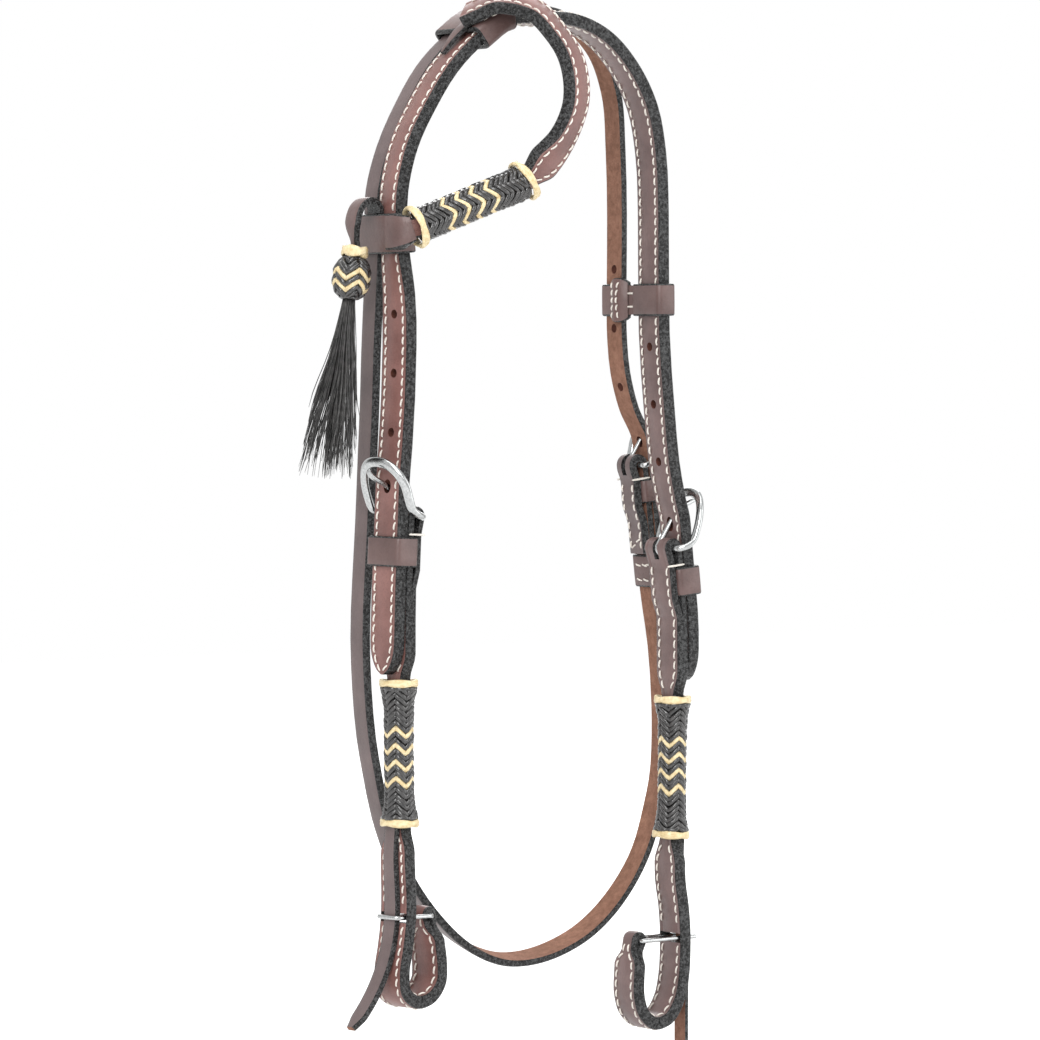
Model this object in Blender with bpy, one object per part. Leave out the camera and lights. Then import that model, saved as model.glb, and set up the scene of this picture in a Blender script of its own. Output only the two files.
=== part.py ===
"""One-ear western headstall with throatlatch, hung from the poll.

The straps run along smooth routes, written as shares of the half span and
the drop. Every buckle, keeper, braid and loop takes its place and its size
from the strap that carries it.
X is across the horse, the nose points to -Y and +Z is up. The origin is the
underside of the crown strap at the poll. Lengths are in metres.
"""
import math

import bmesh
import bpy
import numpy as np
from mathutils import Matrix, Vector

# Overall sizes
HALF_SPAN = 0.080          # poll centre to a cheek strap
DROP = 0.490               # poll to the lowest bit loop
GAP = 0.0003               # between pieces that touch

# Doubled crown and cheek leather
STRAP_WIDTH = 0.019
PLY = 0.003
STRAP_BEVEL = 0.0007
BILLET_POINT = 0.016       # length of a rounded billet point
HOLE_PITCH = 0.0284
HOLE_RADIUS = 0.0022
SPARE_HOLES = 3

# Single ply throatlatch
THROAT_WIDTH = 0.0127
THROAT_PLY = 0.0037
THROAT_POINT = 0.014       # length of its billet's point
THROAT_TURNBACK = 0.0445   # stitched length of the folded end
THROAT_HOLE_PITCH = 0.0292

# Buckles on the crown strap
BAR_RADIUS = 0.00175
BUCKLE_HALF_WIDTH = 0.0148
BUCKLE_HEIGHT = 0.0255
BUCKLE_RISE = 0.0190       # the top bar stands this far out from the heel bar
BAND_HALF_WIDTH = 0.0025
TONGUE_RADIUS = 0.0013
EYE_PLAY = 0.00025
TONGUE_PLAY = 0.0013       # room round the tongue in its billet hole
LEFT_TONGUE_LEAN = 50.0    # degrees between the tongue and the strap
RIGHT_TONGUE_LEAN = 41.0

# The smaller throat buckle
THROAT_BAR_RADIUS = 0.0015
THROAT_BUCKLE_HALF_WIDTH = 0.0108
THROAT_BUCKLE_HEIGHT = 0.0200
THROAT_BUCKLE_RISE = 0.0142
THROAT_BAND_HALF_WIDTH = 0.0019
THROAT_TONGUE_RADIUS = 0.0011
THROAT_TONGUE_LEAN = 42.0

# Fixed keepers below the buckles
KEEPER_WALL = 0.0018
KEEPER_WIDTH = 0.0145
KEEPER_DROP = 0.0170       # heel bar to the keeper's middle
THROAT_KEEPER_WIDTH = 0.0118
THROAT_KEEPER_DROP = 0.0132
LOOP_KEEPER_WIDTH = 0.0165
LOOP_KEEPER_DROP = 0.0535  # heel bar to the lower throat keeper's middle
KEEPER_CORNER = 0.0004     # inside corner of a band

# Sliding keeper that ties the throat billet to the crown strap
SLIDER_WIDTH = 0.0160
SLIDER_TAB_HEIGHT = 0.0220
SLIDER_PLAY = 0.00045
SLIDER_DROP = 0.1330       # poll to the slider's middle

# Rawhide braid on each cheek
BRAID_LENGTH = 0.0622
BRAID_HALF_WIDTH = 0.0080
BRAID_HALF_DEPTH = 0.0072
BRAID_FLARE = 0.0017
BRAID_FLARE_LENGTH = 0.0110
BRAID_WALL = 0.0013
WAIST_WIDTH = 0.0110       # strap inside the braid
WAIST_TAPER = 0.0120
RING_TALL = 0.0044
RING_WALL = 0.0024
RING_HALF_WIDTH = 0.0104
RING_HALF_DEPTH = 0.0092
LEFT_BRAID_SHARE = -0.7153   # of the drop, to the braid's middle
RIGHT_BRAID_SHARE = -0.7441

# Quick-change bit ends
WIRE_RADIUS = 0.0011
WIRE_HALF_WIDTH = 0.0065
BIT_END_WIDTH = 0.0092     # narrowed strap end inside the wire loop
BIT_END_TAPER = 0.0120
SLOT_HEIGHT = 0.0046
SLOT_PLAY = 0.0009
TAB_WIDTH = 0.0090
TAB_PLY = 0.0024
TAB_NECK = 0.0070
LEFT_TAB_LENGTH = 0.1060
RIGHT_TAB_LENGTH = 0.1130
TAB_POINT = 0.0108         # length of a tab's point
TAB_LEAN_SHARES = {"left": 0.40, "right": 0.02}   # outward lean of the hanging tab
TAB_HANG_SHARES = (0.15, 0.35, 0.6, 0.80, 0.93, 1.0)
TAB_BEND_SHARE = 0.35      # of the strap width, from the wire to where the tab hangs free

# Ear loop
EAR_WIDTH = 0.0190
EAR_BRAID_RADIUS = 0.0088
EAR_WAIST = 0.0100
EAR_WRAP_WALL = 0.0020
EAR_WRAP_PLAY = 0.0008
EAR_WRAP_WIDTH = 0.0190
EAR_TOP_WRAP_WIDTH = 0.0230
EAR_LOWER_DROP = 0.1020
EAR_TOP_SPAN = 0.0300      # poll centre to the top wrap's middle
EAR_BRAID_LENGTH = 0.0560
EAR_RING_RADIUS = 0.0108
EAR_TAIL = 0.0170          # braid's end to the lower wrap, along the strap

# Tassel
HANGER_REACH = 0.0125      # how far the hanger stands off the lower wrap
HANGER_FALL = 0.0215       # top of the wrap to the hanger's end
HANGER_BACK = 0.0085       # behind the crown strap's middle
HANGER_WIDTH = 0.0130
HANGER_END_WIDTH = 0.0055
HANGER_NECK = 0.0085
HANGER_PLY = 0.0026
HANGER_ROUTE_SHARES = [
    (0.0, 0.0), (0.01, -0.12), (0.14, -0.24), (0.40, -0.29), (0.74, -0.18), (0.95, 0.06),
    (1.0, 0.32), (0.93, 0.56), (0.89, 0.72), (0.94, 1.0),
]
TASSEL_LEAN = 8.0          # degrees off the plumb line
TASSEL_RING_RADIUS = 0.0067
TASSEL_RING_TALL = 0.0062
KNOT_RADIUS = 0.0095
KNOT_HEIGHT = 0.0185
KNOT_PROFILE_SHARES = [(0.0, 0.60), (0.12, 0.86), (0.32, 1.0), (0.68, 1.0), (0.88, 0.84), (1.0, 0.55)]
HAIR_LENGTH = 0.0870
HAIR_TOP_RADIUS = 0.0035
HAIR_END_WIDTH = 0.0130
HAIR_STEP_SHARES = (0.0, 0.12, 0.3, 0.5, 0.75, 0.94, 1.0)

# Routes as shares of the half span, the drop and the strap width
CROWN_LEFT_STACK_SHARES = (-1.0525, -0.4898)
CROWN_LEFT_TIP_SHARES = (-1.0850, -0.6445)
CROWN_RIGHT_STACK_SHARES = (1.0500, -0.5265)
CROWN_RIGHT_TIP_SHARES = (1.1000, -0.6630)
CROWN_ARCH_SHARES = [
    (-1.0225, -0.4224), (-1.0025, -0.3735), (-0.9925, -0.3245), (-0.9975, -0.2735),
    (-1.0225, -0.2306), (-1.0300, -0.1735), (-0.9650, -0.1306), (-0.8270, -0.0878),
    (-0.6800, -0.0533), (-0.4500, -0.0192), (-0.3000, -0.0030), (-0.1500, 0.0),
    (-0.0500, 0.0), (0.0500, 0.0), (0.1500, 0.0), (0.3060, -0.0052),
    (0.4625, -0.0174), (0.6375, -0.0442), (0.7875, -0.0860), (0.8475, -0.1309),
    (0.8675, -0.1901), (0.8700, -0.2492), (0.8750, -0.3100), (0.9160, -0.3920),
    (0.9500, -0.4410), (1.0010, -0.4800),
]
STACK_UPS_SHARES = (0.75, 0.25, -0.70, -1.35, -1.70)   # of the strap width, along each stack
CHEEK_UPS_SHARES = (0.0, -0.70, -1.35, -1.70)
LEFT_STACK_TILT = 2.5      # degrees, foot outwards
RIGHT_STACK_TILT = 6.0
CROWN_TURN_SHARES = [
    (-0.70, 8.0), (-0.45, 8.0), (-0.2830, 8.0), (-0.2150, -7.0), (-0.1500, -4.0), (-0.05, 0.0),
]

LEFT_CHEEK_SHARES = [
    (-1.0000, 0.00, -0.6300), (-0.9990, 0.00, -0.6900), (-0.9990, 0.00, -0.7300),
    (-0.9950, 0.00, -0.7850), (-1.0080, 0.00, -0.8180), (-1.0020, 0.00, -0.8500),
    (-1.0040, 0.00, -0.8780), (-1.0300, -0.02, -0.9070), (-1.0560, -0.04, -0.9310),
    (-1.0400, -0.02, -0.9490), (-0.9600, 0.04, -0.9590), (-0.8330, 0.13, -0.9560),
    (-0.7600, 0.18, -0.9420), (-0.7540, 0.18, -0.9250), (-0.7740, 0.17, -0.9010),
    (-0.7880, 0.16, -0.8765),
]
RIGHT_CHEEK_SHARES = [
    (1.0150, 0.0, -0.6300), (1.0180, 0.0, -0.6760), (1.0150, 0.0, -0.7380),
    (1.0060, 0.0, -0.8080), (0.9980, 0.0, -0.8350), (1.0020, 0.0, -0.8600),
    (1.0260, 0.0, -0.8850), (1.0390, 0.0, -0.9100), (1.0390, 0.0, -0.9330),
    (1.0280, 0.0, -0.9570), (0.9900, 0.0, -0.9810), (0.9080, 0.0, -0.9980),
    (0.8100, 0.0, -1.0010), (0.7300, 0.0, -0.9910), (0.6900, 0.0, -0.9720),
    (0.6900, 0.0, -0.9520), (0.7020, 0.0, -0.9310), (0.7160, 0.0, -0.9170),
]
LEFT_CHEEK_TURN_SHARES = [(-0.56, 8.0), (-0.80, 7.0), (-0.86, 12.0)]
LEFT_SLOT_SHARE = -0.8765
RIGHT_SLOT_SHARE = -0.9170

# Throat strap: across, fore-and-aft share of the strap width, height
THROAT_STACK_SHARES = (1.0030, 1.48, -0.4375)
THROAT_STACK_TILT = 6.8
THROAT_BILLET_TIP_SHARE = 0.1350
THROAT_BACK_SHARES = (0.3, 0.6, 0.85, 1.03)            # of the way from the fold past its lower keeper
THROAT_BILLET_UPS_SHARES = (0.62, 0.15, -0.8, -1.8)    # of the strap width
THROAT_LOWER_SHARES = [
    (1.1560, 1.48, -0.6245), (1.1860, 1.48, -0.6860), (1.1880, 1.48, -0.7180), (1.1660, 1.48, -0.7630),
    (1.1230, 1.47, -0.7900), (1.0250, 1.42, -0.8330), (0.8500, 1.38, -0.8740),
    (0.7050, 1.37, -0.8970), (0.5530, 1.37, -0.9140), (0.4000, 1.37, -0.9250),
    (0.2500, 1.37, -0.9320), (0.1110, 1.37, -0.9350), (-0.0380, 1.37, -0.9340),
    (-0.1850, 1.37, -0.9270), (-0.3700, 1.38, -0.9100), (-0.5250, 1.40, -0.8880),
    (-0.6820, 1.44, -0.8580), (-0.8100, 1.47, -0.8240), (-0.9050, 1.48, -0.7840),
    (-0.9680, 1.48, -0.7410), (-1.0120, 1.48, -0.7040), (-1.0420, 1.48, -0.6560),
    (-1.0540, 1.48, -0.6060), (-1.0440, 1.48, -0.5490), (-1.0340, 1.47, -0.4920),
    (-1.0260, 1.45, -0.4250), (-1.0120, 1.42, -0.3750), (-1.0080, 1.32, -0.3250),
    (-1.0120, 1.14, -0.2750), (-1.0250, 0.95, -0.2300), (-1.0280, 0.90, -0.1650),
    (-0.9540, 0.90, -0.1240), (-0.8180, 0.90, -0.0800), (-0.6720, 0.90, -0.0440),
    (-0.4400, 0.90, -0.0090), (-0.2800, 0.92, 0.0080), (-0.0500, 0.95, 0.0165),
    (0.1500, 1.05, 0.0185), (0.3300, 1.20, 0.0150), (0.5200, 1.33, 0.0010),
    (0.6900, 1.42, -0.0230), (0.7950, 1.47, -0.0600), (0.8330, 1.48, -0.1200),
    (0.8440, 1.48, -0.1850), (0.8420, 1.48, -0.2500), (0.8420, 1.48, -0.3000),
    (0.8700, 1.48, -0.3450), (0.9350, 1.48, -0.3810),
]
THROAT_ROLL_SHARES = [(-0.84, 0.0), (-0.93, -13.0)]

# Ear loop: across and fore-and-aft of the half span, and height; then its side vectors
EAR_ROUTE_SHARES = [
    (-0.2125, -0.2950, 0.0102), (-0.1187, -0.3750, -0.0110), (-0.0525, -0.4275, -0.0327),
    (-0.0250, -0.4550, -0.0571), (-0.0375, -0.4688, -0.0806), (-0.0800, -0.4688, -0.1000),
    (-0.1480, -0.4575, -0.1200), (-0.2450, -0.4350, -0.1385), (-0.3625, -0.4080, -0.1560),
    (-0.5950, -0.3720, -0.1724), (-0.8287, -0.3330, -0.1876), (-0.9500, -0.3150, -0.1955),
    (-1.0400, -0.3020, -0.2012), (-1.0950, -0.2880, -0.2046), (-1.1350, -0.2500, -0.2068),
    (-1.1400, -0.2050, -0.2075), (-1.1380, -0.1600, -0.2075),
]
EAR_START_SHARES = [(-0.30, 0.03), (0.02, -0.38), (0.28, -0.74)]   # on the top wrap, of the strap width
EAR_SIDE_SHARES = [
    (0.0, (0.80, 0.60, 0.00)), (0.11, (0.80, 0.60, 0.00)), (0.25, (0.87, 0.49, 0.00)),
    (0.42, (0.84, 0.52, 0.00)), (0.52, (0.60, 0.50, -0.45)), (0.62, (0.30, 0.30, -0.85)), (0.80, (0.0, 0.0, -1.0)),
    (1.0, (0.0, 0.0, -1.0)),
]

# Smaller forms as shares of the piece that carries them
TIP_STEP_SHARES = (0.06, 0.18, 0.38, 0.65, 1.0)
TIP_BLUNT_SHARE = 0.22
WAIST_STEP_SHARES = (0.25, 0.5, 0.75, 1.0)
BIT_END_STEP_SHARES = (1.0, 0.8, 0.6, 0.42)
NECK_STEP_SHARES = (1.0, 1.5, 2.0)
SLEEVE_STEP_SHARES = (-0.5, -0.25, 0.0, 0.25, 0.5)
SLIDER_TAB_SHARES = ((0.0, 0.70), (0.2, 0.94), (0.5, 1.0), (0.8, 0.94), (1.0, 0.70))
FOLD_EASE_SHARE = 0.4      # of the fold's radius
LINING_JOIN_SHARE = 3.0    # of the ply, below the keeper
THROAT_JOIN_SHARE = 2.5
WIRE_JOIN_SHARE = 3.2      # of the ply, before the fold over the wire
WIRE_CORNER_SHARE = 1.8    # of the wire's radius
FRAME_SHARES = (           # of the half width, the height and the rise
    (0.0, 0.0, 0.0), (0.78, 0.0, 0.0), (0.95, 0.01, 0.08), (1.0, 0.05, 0.26), (1.0, 0.14, 0.44),
    (1.02, 0.34, 0.57), (1.01, 0.54, 0.67), (0.90, 0.72, 0.78), (0.70, 0.87, 0.89), (0.40, 0.97, 0.97),
    (0.0, 1.0, 1.0),
)
FRAME_THICK_SHARE = 0.7    # of the band's half width
FRAME_LEG_SHARE = 0.4      # of the rise, where the bar has grown into the band
TONGUE_LIFT_SHARE = 0.92   # of the band's half width, over its middle
TONGUE_REST_SHARES = ((0.20, 0.55), (0.34, 0.90), (0.44, 1.0), (1.0, 1.0))   # from the billet to the tip
TONGUE_TIP_SHARES = (0.95, 0.7)

# Mesh fineness
TURN = 9.5                 # degrees between stations on a gentle curve
TWIST_TURN = 1.6           # degrees of twist between stations
THROAT_TURN = 16.0
EAR_TURN = 4.0
LONGEST_RUN = 0.030
SAMPLE = 0.0012            # spacing of the fine samples along a route
ROUND_SIDES = 8
CUT_OVERRUN = 0.004

LEATHER = (0.23, 0.09, 0.075, 1.0)
LEATHER_DARK = (0.15, 0.085, 0.075, 1.0)
STEEL = (0.72, 0.72, 0.73, 1.0)
RAWHIDE_BLACK = (0.02, 0.02, 0.022, 1.0)
RAWHIDE = (0.80, 0.58, 0.28, 1.0)
HAIR = (0.012, 0.011, 0.012, 1.0)


def unit(vector):
    return vector / np.linalg.norm(vector)


def material(name, colour, roughness, metallic=0.0):
    found = bpy.data.materials.get(name)
    if found:
        return found
    made = bpy.data.materials.new(name)
    made.use_nodes = True
    shader = made.node_tree.nodes["Principled BSDF"]
    shader.inputs["Base Color"].default_value = colour
    shader.inputs["Roughness"].default_value = roughness
    shader.inputs["Metallic"].default_value = metallic
    made.diffuse_color = colour
    return made


def leather():
    return material("leather", LEATHER, 0.45)


def leather_dark():
    return material("leather_dark", LEATHER_DARK, 0.5)


def steel():
    return material("stainless_steel", STEEL, 0.22, 1.0)


def black_rawhide():
    return material("black_rawhide", RAWHIDE_BLACK, 0.4)


def natural_rawhide():
    return material("natural_rawhide", RAWHIDE, 0.5)


def horsehair():
    return material("horsehair", HAIR, 0.45)


class Route:
    """A smooth route with a frame at each fine sample.

    along is the direction of travel, side is across the strap and out is
    along x side, the way the grain faces.
    """

    def __init__(self, points, side_at, turn=TURN, twist=TWIST_TURN):
        points = np.array(points, float)
        spans = np.linalg.norm(np.diff(points, axis=0), axis=1)
        slopes = np.diff(points, axis=0) / spans[:, None]
        tangents = [slopes[0]]
        for before, after, first, second in zip(slopes, slopes[1:], spans, spans[1:]):
            tangents.append((before * second + after * first) / (first + second))
        tangents.append(slopes[-1])
        places, ways, knots = [points[0]], [unit(tangents[0])], [0]
        for index, span in enumerate(spans):
            count = max(2, int(math.ceil(span / SAMPLE)))
            start, end = points[index], points[index + 1]
            leave, arrive = tangents[index] * span, tangents[index + 1] * span
            for step in range(1, count + 1):
                u = step / count
                places.append(start * (2 * u**3 - 3 * u**2 + 1) + leave * (u**3 - 2 * u**2 + u)
                              + end * (3 * u**2 - 2 * u**3) + arrive * (u**3 - u**2))
                ways.append(unit(start * (6 * u**2 - 6 * u) + leave * (3 * u**2 - 4 * u + 1)
                                 + end * (6 * u - 6 * u**2) + arrive * (3 * u**2 - 2 * u)))
            knots.append(len(places) - 1)
        self.place = np.array(places)
        self.along = np.array(ways)
        steps = np.linalg.norm(np.diff(self.place, axis=0), axis=1)
        self.s = np.concatenate([[0.0], np.cumsum(steps)])
        self.length = self.s[-1]
        sides = []
        for place, way, s in zip(self.place, self.along, self.s):
            side = side_at(place, way, s / self.length)
            sides.append(unit(side - way * float(side @ way)))
        self.side = np.array(sides)
        self.out = np.cross(self.along, self.side)
        self.knots = [self.s[index] for index in knots]
        self.turn, self.twist = turn, twist

    def frame(self, s):
        columns = []
        for values in (self.place, self.along, self.side, self.out):
            columns.append(np.array([np.interp(s, self.s, values[:, axis]) for axis in range(3)]))
        place, along, side, out = columns
        return place, unit(along), unit(side), unit(out)

    def stations(self, start=None, end=None, extra=(), turn=None):
        """Arc lengths where a mesh needs a section."""
        start = 0.0 if start is None else start
        end = self.length if end is None else end
        turn = math.radians(turn or self.turn)
        fixed = [s for s in list(self.knots) + list(extra) if start + SAMPLE < s < end - SAMPLE]
        kept = [start]
        for s in sorted(fixed):
            if s - kept[-1] > SAMPLE:
                kept.append(s)
        result = [start]
        for low, high in zip(kept, kept[1:] + [end]):
            inner = [s for s in self.s if low < s < high]
            ways = [self.frame(s)[1] for s in [low] + inner[::3] + [high]]
            sides = [self.frame(s)[2] for s in [low] + inner[::3] + [high]]
            bend = sum(math.acos(min(1.0, float(a @ b))) for a, b in zip(ways, ways[1:]))
            twist = sum(math.acos(min(1.0, float(a @ b))) for a, b in zip(sides, sides[1:]))
            parts = max(1, math.ceil(bend / turn), math.ceil(twist / math.radians(self.twist)),
                        math.ceil((high - low) / LONGEST_RUN))
            result += [low + (high - low) * k / parts for k in range(1, parts + 1)]
        return result

    def at_height(self, z, last=False):
        """Arc length where the route passes a height, first or last time."""
        heights = self.place[:, 2] - z
        crossings = np.nonzero(heights[:-1] * heights[1:] <= 0)[0]
        index = crossings[-1] if last else crossings[0]
        share = heights[index] / (heights[index] - heights[index + 1])
        return self.s[index] + share * (self.s[index + 1] - self.s[index])


def by_height(table, z):
    """Angle in radians from a table of shares of the drop and degrees."""
    keys = sorted(table)
    heights = [DROP * height for height, angle in keys]
    return math.radians(np.interp(z, heights, [angle for height, angle in keys]))


def yawed(base, table, start=0):
    """Side vector turned about the vertical, on one half of the object or both."""
    def side_at(place, way, share):
        angle = by_height(table, place[2]) if table and place[0] * start >= 0 else 0.0
        return np.array([base[0] * math.cos(angle) - base[1] * math.sin(angle),
                         base[0] * math.sin(angle) + base[1] * math.cos(angle), 0.0])
    return side_at


def rolled(base, table):
    """Side vector turned about the direction of travel."""
    def side_at(place, way, share):
        angle = by_height(table, place[2])
        side = unit(base - way * float(base @ way))
        return side * math.cos(angle) + np.cross(way, side) * math.sin(angle)
    return side_at


def new_object(name, mesh, look, sharp=40.0):
    mesh.shade_smooth()
    mesh.set_sharp_from_angle(angle=math.radians(sharp))
    made = bpy.data.objects.new(name, mesh)
    bpy.context.collection.objects.link(made)
    made.data.materials.append(look)
    return made


def skin(name, rings, look, closed=False, sharp=40.0):
    """Joins rings of equal count into one closed body."""
    mesh = bpy.data.meshes.new(name)
    count = len(rings[0])
    verts = [tuple(point) for ring in rings for point in ring]
    faces = []
    spans = len(rings) if closed else len(rings) - 1
    for i in range(spans):
        j = (i + 1) % len(rings)
        for k in range(count):
            m = (k + 1) % count
            faces.append((i * count + k, i * count + m, j * count + m, j * count + k))
    if not closed:
        faces.append(tuple(reversed(range(count))))
        faces.append(tuple(range((len(rings) - 1) * count, len(rings) * count)))
    mesh.from_pydata(verts, [], faces)
    body = bmesh.new()
    body.from_mesh(mesh)
    bmesh.ops.recalc_face_normals(body, faces=body.faces)
    if body.calc_volume(signed=True) < 0:
        bmesh.ops.reverse_faces(body, faces=body.faces)
    body.to_mesh(mesh)
    body.free()
    return new_object(name, mesh, look, sharp)


def strap_section(width, low, high):
    """Across and out coordinates of a strap's section, grain side bevelled."""
    half = width / 2
    bevel = min(STRAP_BEVEL, half / 2)
    return [(-half, low), (half, low), (half, high - bevel), (half - bevel, high),
            (-half + bevel, high), (-half, high - bevel)]


def ribbon(name, frames, sections, look):
    rings = []
    for (place, along, side, out), section in zip(frames, sections):
        rings.append([place + side * across + out * high for across, high in section])
    return skin(name, rings, look)


def pointed(distance, width, point):
    """Strap width at a distance from a rounded point."""
    if distance >= point:
        return width
    share = 1 - distance / point
    return width * max(TIP_BLUNT_SHARE, (1 - share**2.2) ** 0.6)


def set_origin(names, spot):
    """Puts the origin of moving pieces on their joint's axis."""
    for name in names:
        made = bpy.data.objects[name]
        made.data.transform(Matrix.Translation(-Vector(spot)))
        made.location = Vector(spot)


def round_hole(carrier, place, way, radius, depth):
    """Cuts a round hole through a strap."""
    bpy.ops.mesh.primitive_cylinder_add(vertices=ROUND_SIDES, radius=radius, depth=depth)
    cutter = bpy.context.object
    turned = Vector(way).to_track_quat("Z", "Y").to_matrix().to_4x4()
    cutter.matrix_world = Matrix.Translation(Vector(place)) @ turned
    return hide_cutter(carrier, cutter)


def hide_cutter(carrier, cutter):
    cutter.name = carrier.name + "_cutter"
    cutter.hide_render = True
    cutter.display_type = "WIRE"
    cutter.hide_set(True)
    return cutter


def cut(carrier, cutters):
    for cutter in cutters:
        boolean = carrier.modifiers.new("hole", "BOOLEAN")
        boolean.operation = "DIFFERENCE"
        boolean.solver = "EXACT"
        boolean.object = cutter


def add_box(size, matrix):
    bpy.ops.mesh.primitive_cube_add(size=1.0)
    made = bpy.context.object
    for vertex in made.data.vertices:
        vertex.co = Vector(vertex.co[axis] * size[axis] for axis in range(3))
    made.matrix_world = matrix
    return made


class Stack:
    """Where a billet, a folded strap end, a buckle and a keeper meet.

    Local axes: x across the strap, y up towards the poll, z outwards. The
    origin lies between the two plies of the folded end, level with the bar.
    """

    def __init__(self, billet_centre, up, out, width, ply, billet, bar, tongue, half_width,
                 height, rise, band, lean):
        self.up = unit(up)
        self.out = unit(out - self.up * float(out @ self.up))
        self.across = np.cross(self.up, self.out)
        self.width, self.ply, self.billet = width, ply, billet
        self.bar, self.tongue, self.band = bar, tongue, band
        self.half_width, self.height, self.rise = half_width, height, rise
        self.lean = math.radians(lean)
        self.ply_middle = GAP / 2 + ply / 2
        self.fold_radius = bar + GAP + ply / 2
        self.bar_out = self.ply_middle - self.fold_radius
        self.billet_low = GAP / 2 + ply + GAP
        self.billet_middle = self.billet_low + billet / 2
        self.eye = bar + EYE_PLAY + tongue
        leave = self.lean - math.pi / 2
        self.shank = (self.eye * math.cos(leave), self.bar_out + self.eye * math.sin(leave))
        self.hole = self.on_tongue(self.billet_middle)
        self.origin = np.array(billet_centre) - self.out * self.billet_middle

    def on_tongue(self, out):
        """How far up the strap the straight part of the tongue is, at a distance outwards."""
        return self.shank[0] + (out - self.shank[1]) / math.tan(self.lean)

    def point(self, across, up, out):
        return self.origin + self.across * across + self.up * up + self.out * out

    def matrix(self):
        columns = [list(v) + [0.0] for v in (self.across, self.up, self.out)]
        columns.append(list(self.origin) + [1.0])
        return Matrix(columns).transposed()


def stack_points(stack, ups, out):
    return [stack.point(0.0, up, out) for up in ups]


def crown_route():
    def spot(shares):
        return np.array([HALF_SPAN * shares[0], 0.0, DROP * shares[1] + PLY + GAP / 2])

    points = []
    for shares, tip, tilt, sign in ((CROWN_LEFT_STACK_SHARES, CROWN_LEFT_TIP_SHARES, LEFT_STACK_TILT, -1),
                                    (CROWN_RIGHT_STACK_SHARES, CROWN_RIGHT_TIP_SHARES, RIGHT_STACK_TILT, 1)):
        angle = math.radians(tilt)
        up = np.array([-sign * math.sin(angle), 0.0, math.cos(angle)])
        run = [spot(shares) + up * STRAP_WIDTH * share for share in STACK_UPS_SHARES]
        points.append([spot(tip)] + run[::-1])
    arch = [spot(shares) for shares in CROWN_ARCH_SHARES]
    side = yawed(np.array([0.0, 1.0, 0.0]), CROWN_TURN_SHARES, start=-1)
    return Route(points[0] + arch + points[1][::-1], side)


def stack_on(route, level, last, **sizes):
    s = route.at_height(level, last)
    place, along, side, out = route.frame(s)
    return Stack(place, -along if last else along, out, **sizes), s


def crown_stack(route, last):
    shares = CROWN_RIGHT_STACK_SHARES if last else CROWN_LEFT_STACK_SHARES
    lean = RIGHT_TONGUE_LEAN if last else LEFT_TONGUE_LEAN
    return stack_on(route, DROP * shares[1] + PLY + GAP / 2, last, width=STRAP_WIDTH, ply=PLY,
                    billet=2 * PLY + GAP, bar=BAR_RADIUS, tongue=TONGUE_RADIUS,
                    half_width=BUCKLE_HALF_WIDTH, height=BUCKLE_HEIGHT, rise=BUCKLE_RISE,
                    band=BAND_HALF_WIDTH, lean=lean)


def tongue_path(stack):
    """Up and out places of the tongue's wire, round its eye and to its tip."""
    leave = stack.lean - math.pi / 2
    path = []
    for step in range(13):
        angle = leave - math.radians(300.0) * (1 - step / 12)
        path.append((stack.eye * math.cos(angle), stack.bar_out + stack.eye * math.sin(angle)))
    rest = stack.bar_out + stack.rise + TONGUE_LIFT_SHARE * stack.band + GAP + stack.tongue
    high = stack.billet_low + stack.billet
    leaving = (stack.on_tongue(high), high)
    path.append(((stack.shank[0] + leaving[0]) / 2, (stack.shank[1] + leaving[1]) / 2))
    path.append(leaving)
    tip = (stack.height + stack.band, rest)
    for along, rise in TONGUE_REST_SHARES:
        path.append((leaving[0] + (tip[0] - leaving[0]) * along, leaving[1] + (tip[1] - leaving[1]) * rise))
    return path


def tube(name, points, radii, look, first_side, closed=False, sides=ROUND_SIDES, flats=None):
    """A wire or band whose section is carried along without twisting."""
    points = [np.array(point, float) for point in points]
    flats = flats or radii
    count = len(points)
    rings = []
    side = np.array(first_side, float)
    for i, point in enumerate(points):
        before = points[i - 1] if (closed or i) else point
        after = points[(i + 1) % count] if (closed or i < count - 1) else point
        way = unit(after - before)
        side = unit(side - way * float(side @ way))
        other = np.cross(way, side)
        rings.append([point + side * radii[i] * math.cos(2 * math.pi * k / sides)
                      + other * flats[i] * math.sin(2 * math.pi * k / sides) for k in range(sides)])
    return skin(name, rings, look, closed, sharp=50.0)


def buckle_loop(stack):
    """Heel bar and horseshoe band in one closed loop: places and the band's half sizes."""
    half = [(stack.half_width * x, stack.height * y, stack.rise * z) for x, y, z in FRAME_SHARES]
    loop = half + [(-x, y, z) for x, y, z in half[-2:0:-1]]
    points = [stack.point(x, y, z + stack.bar_out) for x, y, z in loop]
    thin, wide = [], []
    for x, y, z in loop:
        share = min(1.0, z / (FRAME_LEG_SHARE * stack.rise))
        thin.append(stack.bar * (1 - share) + FRAME_THICK_SHARE * stack.band * share)
        wide.append(stack.bar * (1 - share) + stack.band * share)
    return points, wide, thin


def buckle_frame(name, stack):
    points, wide, thin = buckle_loop(stack)
    tube(name, points, wide, steel(), stack.out, closed=True, flats=thin)
    set_origin([name], stack.point(0.0, 0.0, stack.bar_out))


def buckle_tongue(name, stack):
    points = [stack.point(0.0, up, out) for up, out in tongue_path(stack)]
    radii = [stack.tongue] * (len(points) - 2) + [stack.tongue * share for share in TONGUE_TIP_SHARES]
    tube(name, points, radii, steel(), stack.across, sides=6)
    set_origin([name], stack.point(0.0, 0.0, stack.bar_out))


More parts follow.
